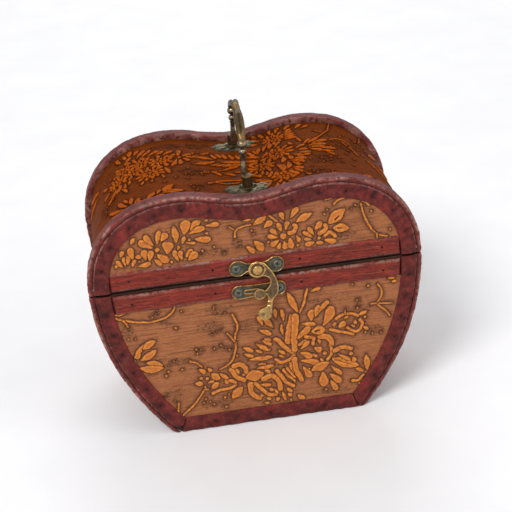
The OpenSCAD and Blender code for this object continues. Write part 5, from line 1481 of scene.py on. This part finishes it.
for name, places, node in (
    ("base_nail_heads", base_nails, "base_nails"),
    ("lid_nail_heads", lid_nails, "lid_nails"),
):
    domes = [dome(x, z, depth - 0.2, side) for x, z, depth, side in places]
    joined(name, domes, IRON, node)


# ------------------------------------------------------------ latch

PLATE_Y = -high("latch_plate")[1]
PLATE_T = high("latch_plate")[1] - low("latch_plate")[1]
PLATE_W = high("latch_plate")[0] - low("latch_plate")[0]
RIM_H = 0.3
LATCH_WAIST, CATCH_WAIST = 0.52, 0.88
PLATE_END = 1.4  # angle of the ends' arcs, in radians
RIVET_Z = middle_z("latch_rivet")
CATCH_Z = middle_z("catch_post")
TONGUE_LEFT, TONGUE_RIGHT, TONGUE_HALF = -8, 1, 1.45
HOOK_Y = -high("latch_hook")[1]
HOOK_T = 1.5
TAB_OUT = -low("latch_hook")[1] - HOOK_Y - HOOK_T
# Outline of the hook round its eye: out along the arm, round the finger tab and back through the crook
HOOK = [
    (0, 4.6), (3.3, 3.4), (5.5, 0.9), (7.6, -2.6), (9.2, -6.6), (9.8, -10.8), (9.3, -14.6), (7.3, -17),
    (5.9, -19.2), (5.2, -21.4), (5.3, -24), (3.9, -27), (1.3, -28), (-1.1, -26.6), (-1.9, -24), (-0.6, -21.6),
    (2.6, -20.2), (3.7, -18.4), (4.1, -16.6), (3.4, -14.6), (1.7, -13.4), (3.8, -11.7), (5.5, -9.4),
    (5.9, -6.8), (4.7, -4.9), (2.4, -4.1), (-0.6, -4.6), (-3.6, -2.8), (-4.6, 0), (-3.2, 3.3),
]


def plate_outline(node, waist):
    """Outline of a plate with round ends and a notched waist, as high as its CAD node."""
    half = (high(node)[2] - low(node)[2]) / 2
    a = np.linspace(-PLATE_END, PLATE_END, 30)
    end = PLATE_W / 2 - half
    right = np.stack([end + half * np.cos(a), half * np.sin(a)], 1)
    t = np.linspace(-1, 1, 60)
    shoulder = math.sin(PLATE_END)
    depth = half * (shoulder - (shoulder - waist) * smoothstep(0.85, 0.4, np.abs(t)))
    top = np.stack([-t * (end + half * math.cos(PLATE_END)), depth], 1)[1:-1]
    return np.concatenate([right, top, -right, -top]) + (0, middle_z(node))


def tongue_outline():
    """Outline of the slotted tongue that the catch's knob stands on."""
    x = np.linspace(TONGUE_LEFT, TONGUE_RIGHT, 16)
    from_middle = np.abs(2 * (x - TONGUE_LEFT) / (TONGUE_RIGHT - TONGUE_LEFT) - 1)
    z = TONGUE_HALF * (1 - from_middle**6) ** 0.5
    return np.concatenate([np.stack([x, z], 1), np.stack([x, -z], 1)[-2:0:-1]]) + (0, CATCH_Z + 0.5)


def plate_face(x, z, inside):
    """Thin raised rim round a tarnished face."""
    rim = smoothstep(0, 0.2, inside) * smoothstep(0.62, 0.35, inside)
    worn = fractal(x / 1.3, z / 1.3, 61, 2)
    return RIM_H * rim + 0.05 * worn, smoothstep(0.35, 0.6, inside) * (0.92 + 0.08 * np.sign(worn))


def tongue_face(x, z, inside):
    """Bright rim round a dark slot."""
    height = RIM_H * smoothstep(0, 0.4, inside) - 0.25 * smoothstep(0.5, 0.8, inside)
    return height, smoothstep(0.6, 0.85, inside)


def hook_face(x, z, inside):
    """Thin bright rims along the arm, a dark ring and a bright one round the eye, and a dented finger tab;
    the dark ring and the dent are painted shade.
    """
    rim = smoothstep(0, 0.2, inside) * smoothstep(0.65, 0.35, inside)
    from_eye = np.hypot(x, z - RIVET_Z)
    bright_ring = smoothstep(0.5, 0.3, np.abs(from_eye - 3.7))
    dark_ring = smoothstep(0.5, 0.3, np.abs(from_eye - 2.85))
    tab = smoothstep(RIVET_Z - 16.4, RIVET_Z - 18.6, z)
    dent = np.exp(-(((x - 0.6) / 1.5) ** 2 + ((z - RIVET_Z + 24) / 1.1) ** 2))
    crown = smoothstep(0, 2.4, inside)
    arm = 0.25 * rim - 0.05 + 0.2 * bright_ring - 0.25 * dark_ring
    height = arm * (1 - tab) + tab * (0.7 * crown - 0.5 * dent)
    shade = smoothstep(0.4, 0.7, inside) * (1 - bright_ring)
    # The dark ring and the dent are painted shade
    return height, np.maximum(np.maximum(shade, dark_ring) * (1 - 0.8 * tab), dent)


def tab_bend(z):
    """How far the finger tab stands out from the arm."""
    return TAB_OUT * smoothstep(RIVET_Z - 18.2, RIVET_Z - 20.0, z)


def plates():
    """Latch plate and catch plate, and the screws of the plates and hinges."""
    thickness = PLATE_T - 0.2
    upper = stamped(plate_outline("latch_plate", LATCH_WAIST), PLATE_Y, thickness, plate_face)
    lower = stamped(plate_outline("catch_plate", CATCH_WAIST), PLATE_Y, thickness, plate_face)
    tongue = stamped(tongue_outline(), PLATE_Y + PLATE_T - 0.25, 0.35, tongue_face, spacing=0.25)
    joined("latch_plate_brass", [upper], PEWTER, "latch_plate")
    joined("catch_plate_brass", [lower, tongue], PEWTER, "catch_plate")
    for name, node in (("base_screw_heads", "base_screws"), ("lid_screw_heads", "lid_screws")):
        screws = []
        for k, (x, z, depth, side) in enumerate(heads(node)):
            r = SCREW_R if side < 0 else BACK_SCREW_R
            screws.append(screw(x, z, depth, r, 0.5 + 0.8 * k, side))
        joined(name, screws, SCREW_METAL, node, sharp=50)


def rivet():
    """Flat-headed rivet that the hook turns on."""
    back = high("latch_rivet")[1]
    top = back - low("latch_rivet")[1]
    shank_r, head_r = 1.45, 2.4
    profile = [
        (shank_r, 0), (shank_r, top - 0.6), (head_r, top - 0.55), (head_r, top - 0.15),
        (head_r - 0.2, top + 0.05), (head_r / 2, top + 0.14), (0, top + 0.15),
    ]
    turned = lathe(profile, (0, back, RIVET_Z), (0, -1, 0))
    joined("latch_rivet_brass", [turned], HOOK_BRASS, "latch_rivet")


def catch_knob():
    """Knob with a dished head that the hook closes on."""
    back = high("catch_post")[1]
    top = back - low("catch_post")[1]
    shank_r, head_r = 1.2, (high("catch_post")[0] - low("catch_post")[0]) / 2
    profile = [
        (shank_r, 0, 0), (shank_r, top - 1.15, 0), (head_r, top - 1.15, 0.6), (head_r + 0.15, top - 0.7, 0.6),
        (head_r - 0.1, top - 0.3, 0.3), (head_r - 0.5, top - 0.25, 0.3), (head_r - 0.7, top - 0.5, 0.95),
        (0, top - 0.4, 0.9),
    ]
    turned = lathe(profile, (0, back, CATCH_Z), (0, -1, 0))
    joined("catch_knob", [turned], HOOK_BRASS, "catch_post")


def hook():
    """Curved hook with a finger tab that is bent outwards."""
    loop = loop_through([*HOOK, HOOK[0]], 6)[:-1] + (0, RIVET_Z)
    shape = stamped(loop, HOOK_Y, HOOK_T - 0.3, hook_face, spacing=0.3, bend=tab_bend)
    joined("latch_hook_brass", [shape], HOOK_BRASS, "latch_hook")


plates()
rivet()
catch_knob()
hook()


# ------------------------------------------------------------ handle

POST_R = high("handle_posts")[0]
POST_Z = low("handle_posts")[2]
FOOT_Y = high("handle_posts")[1] - POST_R
ROSETTE_L = high("handle_rosettes")[0]
ROSETTE_W = high("handle_rosettes")[1] - FOOT_Y
HANG_GAP = 0.3  # between a leg and its post
EYE_R, EYE_HALF_T = 1.6, 1.5  # flat foot of a leg, round its pin
LEG_R = 1.2
LEG_Y = FOOT_Y - POST_R - HANG_GAP - EYE_HALF_T
PIVOT_R = 0.8
PIVOT_Z = low("handle_arch")[2] + EYE_R
FOOT_TOP = PIVOT_Z + 8.6
ARCH_R = 2.2
BEND_R = 6
TOP_Z = high("handle_arch")[2] - ARCH_R
ARCH_RISE = 10.3
KNEE_Z = TOP_Z - ARCH_RISE
STEM_BEAD_R, KNEE_BEAD_R, BEAD_SQUASH = 1.95, 2.5, 0.9
LEAN, TWIST = 1.2, 0.2  # how far the top is bent to the right, and one leg before the other
# Radius, height and recess up a post; the dark recess round its foot is a painted shadow
POST = (
    (POST_R + 0.5, -0.2, 0.7), (POST_R + 0.4, 0.25, 0.5), (POST_R - 0.05, 0.5, 0.9),
    (POST_R - 0.1, 2.5, 0.45), (POST_R - 0.1, 5.3, 0.4), (POST_R, 5.7, 0), (POST_R - 0.05, 6.1, 0),
    (POST_R - 0.5, 6.5, 0.1), (POST_R - 1, 6.6, 0.7), (0, 6.5, 0.8),
)
# Places along the arch and radii of the rings knurled round its top
KNURLS = (-3.4, 1.6), (-1.8, 1.85), (0, 2.0), (1.8, 1.85), (3.4, 1.6)


def leaned(points, faces, recess):
    """A part of the swinging handle, bent a little to the right of upright."""
    share = ((points[:, 2] - PIVOT_Z) / (TOP_Z - PIVOT_Z)).clip(0, 1)
    points[:, 0] += LEAN * share**1.6 + TWIST * points[:, 1] / LEG_Y + TWIST
    return points, faces, recess


def shifted(points, faces, recess):
    """A post or rosette, set a little off the lid's middle."""
    points[:, 0] += 0.6 - 0.5 * np.sign(points[:, 1].mean())
    return points, faces, recess


def rosette(y):
    """Oval rosette of scalloped petals lying on the skin."""
    rho = np.linspace(1, 0.02, 34)[:, None]
    a = ring_of(180)[None, :]
    lobes = 1 + 0.09 * np.cos(10 * a) * rho
    x = ROSETTE_L * 0.93 * rho * lobes * np.cos(a)
    across = ROSETTE_W * 0.93 * rho * lobes * np.sin(a)
    petal = np.abs(np.cos(5 * a)) ** 0.6 * smoothstep(0.3, 0.5, rho) * smoothstep(1.05, 0.8, rho)
    rings = 0.35 * np.exp(-(((rho - 0.42) / 0.07) ** 2)) + 0.22 * np.exp(-(((rho - 0.9) / 0.06) ** 2))
    height = 0.35 + smoothstep(1, 0.7, rho) * (0.35 + 0.75 * petal) + rings
    height = height * smoothstep(1.0, 0.97, rho) - 0.2
    recess = np.clip(1.0 - height * 0.75, 0, 0.9)
    points = np.stack([x, y + across, rim_z(x, SKIN_T) + height], -1)
    return points.reshape(-1, 3), tube_faces(*x.shape), recess.ravel()


def ball(r, z):
    """Profile of a slightly flattened bead."""
    turns = np.linspace(0.35, math.pi - 0.35, 12)
    return [(r * math.sin(a), z - r * BEAD_SQUASH * math.cos(a)) for a in turns]


def flat_foot(side):
    """Worn flat foot of a leg, rounded at its eye and narrowing to the stem."""
    a = ring_of(32)
    c, s = np.cos(a), np.sin(a)
    square = (np.abs(c) ** 5 + np.abs(s) ** 5) ** -0.2
    heights = np.linspace(0, 1, 26)
    rows = []
    for t in heights:
        z = PIVOT_Z - EYE_R + t * (FOOT_TOP - PIVOT_Z + EYE_R)
        rounded = math.sqrt(max(0.0, 1 - ((PIVOT_Z - z) / EYE_R) ** 2)) if z < PIVOT_Z else 1.0
        half_x = max(0.05, EYE_R * rounded) + (LEG_R - EYE_R) * smoothstep(0.2, 1, t)
        half_y = EYE_HALF_T + (LEG_R - EYE_HALF_T) * smoothstep(0.7, 1, t)
        rows.append(np.stack([half_x * c * square, side * LEG_Y + half_y * s * square, 0 * a + z], -1))
    points = np.concatenate(rows)
    return points, tube_faces(len(heights), len(a)), np.zeros(len(points))


def arch_line():
    """Middle line of half the arch, from its knee to its top, in Y and Z with X at 0."""
    bend_y = LEG_Y - BEND_R
    radius = (bend_y**2 + ARCH_RISE**2 - BEND_R**2) / (2 * (ARCH_RISE - BEND_R))
    top_angle = math.asin(bend_y / (radius - BEND_R))
    turn = np.linspace(0, math.pi / 2 - top_angle, 24)
    knee = np.stack([0 * turn, bend_y + BEND_R * np.cos(turn), KNEE_Z + BEND_R * np.sin(turn)], 1)
    turn = np.linspace(top_angle, 0, 56)[1:]
    crest = np.stack([0 * turn, radius * np.sin(turn), TOP_Z - radius + radius * np.cos(turn)], 1)
    return np.concatenate([knee, crest])


def arch_limb(side):
    """Half of the arch: leaf-shaped, with a dark slit down its middle."""
    line = arch_line()
    run = running_length(line)
    t = (run / run[-1])[:, None]
    along = np.gradient(line, axis=0)
    along /= np.linalg.norm(along, axis=1)[:, None]
    out = np.stack([0 * run, along[:, 2], -along[:, 1]], 1)
    leaf = np.sin(math.pi * np.clip(t * 1.1, 0, 1))
    wide, thick = 1.7 + 0.75 * leaf**0.8, 1.3 + 0.5 * leaf
    a = ring_of(28)[None, :]
    slit = np.exp(-((np.sin(a) / 0.28) ** 2)) * (np.cos(a) > 0)
    deep = slit * smoothstep(0.08, 0.25, t) * smoothstep(0.85, 0.6, t)
    depth = thick * np.cos(a) * (1 - 0.55 * deep)
    across = wide * np.sin(a)
    points = line[:, None, :] + out[:, None, :] * depth[..., None] + across[..., None] * np.array([1, 0, 0])
    points[..., 1] *= side
    faces = tube_faces(*depth.shape)
    if side < 0:
        faces = faces[:, ::-1]
    # Painted shade darkens the limb from about a third of the way up, so the part near the knee stands out as
    # a painted highlight; darker still in the slit
    shade_and_slit = np.maximum(0.65 * smoothstep(0.3, 0.5, t), deep * 0.9)
    return points.reshape(-1, 3), faces, shade_and_slit.ravel()


def knurl(y, r):
    """Ridged ring round the top of the arch."""
    turns = enumerate(np.linspace(0.1, math.pi - 0.1, 9))
    profile = [(r * math.sin(a) * (1 + 0.04 * (k % 2)), -0.8 * math.cos(a)) for k, a in turns]
    return lathe(profile, (0, y, TOP_Z), (0, 1, 0), 30)


def beaded_stem(side):
    """Thin stem with one bead on its way and a larger one at the knee."""
    lower, upper = ball(STEM_BEAD_R, KNEE_Z - 4), ball(KNEE_BEAD_R, KNEE_Z)
    foot = [(LEG_R, FOOT_TOP - 0.4), (LEG_R, KNEE_Z - 6.6), (1.5, KNEE_Z - 6.2)]
    profile = [*foot, *lower, (1.15, KNEE_Z - 2.1), *upper]
    points, faces, _ = lathe(profile, (0, LEG_Y * side, 0), (0, 0, 1), 32)
    z = points[:, 2]
    band = smoothstep(KNEE_Z - 9, KNEE_Z - 7.4, z) * smoothstep(KNEE_Z - 4.6, KNEE_Z - 5.6, z)
    return points, faces, 0.75 * band + 0.6 * np.exp(-(((z - KNEE_Z + 2.2) / 0.5) ** 2))


def handle():
    """Two rosettes, two posts with pivot pins, and the arch that swings between them."""
    leaves, posts, arch, stems = [], [], [], []
    for side in (-1, 1):
        foot = (0, FOOT_Y * side)
        pin_end = POST_R + HANG_GAP + 2.0
        pin = [(PIVOT_R, 0), (PIVOT_R, pin_end), (0, pin_end)]
        leaves.append(shifted(*rosette(FOOT_Y * side)))
        posts.append(shifted(*lathe(POST, (*foot, POST_Z), (0, 0, 1))))
        posts.append(lathe(pin, (*foot, PIVOT_Z), (0, -side, 0), 24))
        arch.append(leaned(*arch_limb(side)))
        stems.append(leaned(*beaded_stem(side)))
        stems.append(leaned(*flat_foot(side)))
    arch += [leaned(*knurl(y, r)) for y, r in KNURLS]
    joined("handle_rosette_leaves", leaves, GREEN_BRONZE, "handle_rosettes")
    joined("handle_post_rods", posts, BRONZE, "handle_posts")
    joined("handle_arch_brass", arch, BRONZE, "handle_arch")
    joined("handle_stem_beads", stems, WORN_BRONZE, "handle_arch")


handle()


# ------------------------------------------------------------ CAD parts that keep their shape

# Slot, width of the rounded edges and nodes of each material
KEPT = {
    FRONT_WOOD: (
        "front_back_wood", 0.3,
        "base_front_board base_back_board lid_front_board lid_back_board lid_stop_block",
    ),
    BENT_WOOD: ("bent_wood", 0.3, "left_side_board right_side_board bottom_board lid_top_board"),
    VELVET: ("velvet", 0.4, "base_lining lid_lining"),
    BRASS: ("antique_brass", 0.2, "lower_hinge_leaves upper_hinge_leaves hinge_pins winding_key"),
    CAST: ("cast_bed", 0.2, "bedplate barrel_bridge"),
    MOVEMENT_BRASS: (
        "movement_brass", 0.08, "spring_barrel ratchet_wheel music_cylinder cylinder_wheel governor_frame"
    ),
    STEEL: ("bright_steel", 0.06, "music_comb winding_arbor movement_screws stop_lever stop_rod click_pawl"),
    SPRING_STEEL: ("spring_steel", 0.03, "mainspring"),
    FLY_PLASTIC: ("fly_plastic", 0.05, "worm_and_fly intermediate_wheel"),
    CLEAR_PLASTIC: ("clear_plastic", 0.15, "clear_cover"),
}
for material, (slot, bevel, nodes) in KEPT.items():
    for node in nodes.split():
        obj = frame["nodes"][node]
        obj.data.materials.clear()
        obj.data.materials.append(material)
        round_edges = obj.modifiers.new("round_edges", "BEVEL")
        round_edges.width = bevel * MM
        round_edges.segments = 2
        round_edges.limit_method = "ANGLE"
        round_edges.angle_limit = math.radians(35)
        round_edges.use_clamp_overlap = True


# ------------------------------------------------------------ camera, lamps and floor

SENSOR_WIDTH, LENS = 36, 92.36
SHIFT = (-0.0194, -0.0051)
AZIMUTH, ELEVATION, ROLL, DISTANCE = -5.4, 26.78, -5.28, 707.3
TARGET = Vector((9.79, 0, 74.8))
WORLD_DIM, WORLD_BRIGHT = 0.42, 0.9  # as light on the object, and as seen or reflected
FLOOR_HALF, FLOOR_FRONT, FLOOR_BACK = 5000, -5000, 1500
FLOOR_DROP = 0.02  # how far the floor lies under the case
SWEEP_R, BACKDROP_TOP = 900, 3200


def aim(obj, place, towards, roll=0.0):
    """Stands a camera or lamp at a place in millimetres, looking towards another."""
    turn = (Vector(towards) - Vector(place)).to_track_quat("-Z", "Y").to_matrix()
    turn = turn @ Matrix.Rotation(math.radians(roll), 3, "Z")
    obj.matrix_world = Matrix.Translation(Vector(place) * MM) @ turn.to_4x4()


def camera():
    """Camera as the photograph's, looking down on the front from a little to the left."""
    obj = link(bpy.data.objects.new("camera", bpy.data.cameras.new("camera")))
    obj.data.sensor_width = SENSOR_WIDTH
    obj.data.lens = LENS
    obj.data.shift_x, obj.data.shift_y = SHIFT
    obj.data.clip_end = 30
    a, e = math.radians(AZIMUTH), math.radians(ELEVATION)
    back = Vector((math.sin(a) * math.cos(e), -math.cos(a) * math.cos(e), math.sin(e)))
    aim(obj, TARGET + back * DISTANCE, TARGET, ROLL)
    return obj


def lamp(name, place, size, power):
    """Soft round lamp that looks at the middle of the case."""
    light = bpy.data.lights.new(name, "AREA")
    light.shape = "DISK"
    light.size = size
    light.energy = power
    aim(link(bpy.data.objects.new(name, light)), place, (0, 0, 60))


def studio_world():
    """White surroundings: bright to the camera, in reflections and through glass, dimmer as a light."""
    world = bpy.data.worlds.new("studio")
    world.use_nodes = True
    tree = world.node_tree
    rays = tree.nodes.new("ShaderNodeLightPath").outputs
    background = tree.nodes["Background"]
    background.inputs["Color"].default_value = (1, 1, 1, 1)
    seen, clear = tree.nodes.new("ShaderNodeMath"), tree.nodes.new("ShaderNodeMath")
    seen.operation = clear.operation = "MAXIMUM"
    tree.links.new(rays["Is Glossy Ray"], clear.inputs[0])
    tree.links.new(rays["Is Transmission Ray"], clear.inputs[1])
    tree.links.new(rays["Is Camera Ray"], seen.inputs[0])
    tree.links.new(clear.outputs[0], seen.inputs[1])
    level = tree.nodes.new("ShaderNodeMapRange")
    level.inputs["To Min"].default_value = WORLD_DIM
    level.inputs["To Max"].default_value = WORLD_BRIGHT
    tree.links.new(seen.outputs[0], level.inputs["Value"])
    tree.links.new(level.outputs[0], background.inputs["Strength"])
    return world


def stage_sheet():
    """Floor that curves up into a backdrop behind."""
    bend = [(math.sin(a), 1 - math.cos(a)) for a in np.linspace(0, math.pi / 2, 16)]
    sweep = [(FLOOR_BACK + SWEEP_R * y, SWEEP_R * z) for y, z in bend]
    line = [(FLOOR_FRONT, 0), *sweep, (FLOOR_BACK + SWEEP_R, BACKDROP_TOP)]
    points = [[(x, y, z - FLOOR_DROP) for x in (-FLOOR_HALF, FLOOR_HALF)] for y, z in line]
    sheet = grid_mesh("floor", np.array(points, float))
    p = Paint("floor_paint")
    body = p.ramp(p.noise(p.place(), 0.02, 3), (0.3, (236, 236, 238)), (0.7, (240, 240, 242)))
    sheet.data.materials.append(p.done(Base_Color=body, Roughness=0.7))


scene = bpy.context.scene
scene.camera = camera()
lamp("key_light", (-900, -1300, 1700), 0.9, 34)
lamp("fill_light", (1500, -900, 900), 1.4, 9)
lamp("back_light", (200, 1500, 1300), 1.2, 12)
scene.world = studio_world()
stage_sheet()
scene.view_settings.view_transform = "Standard"
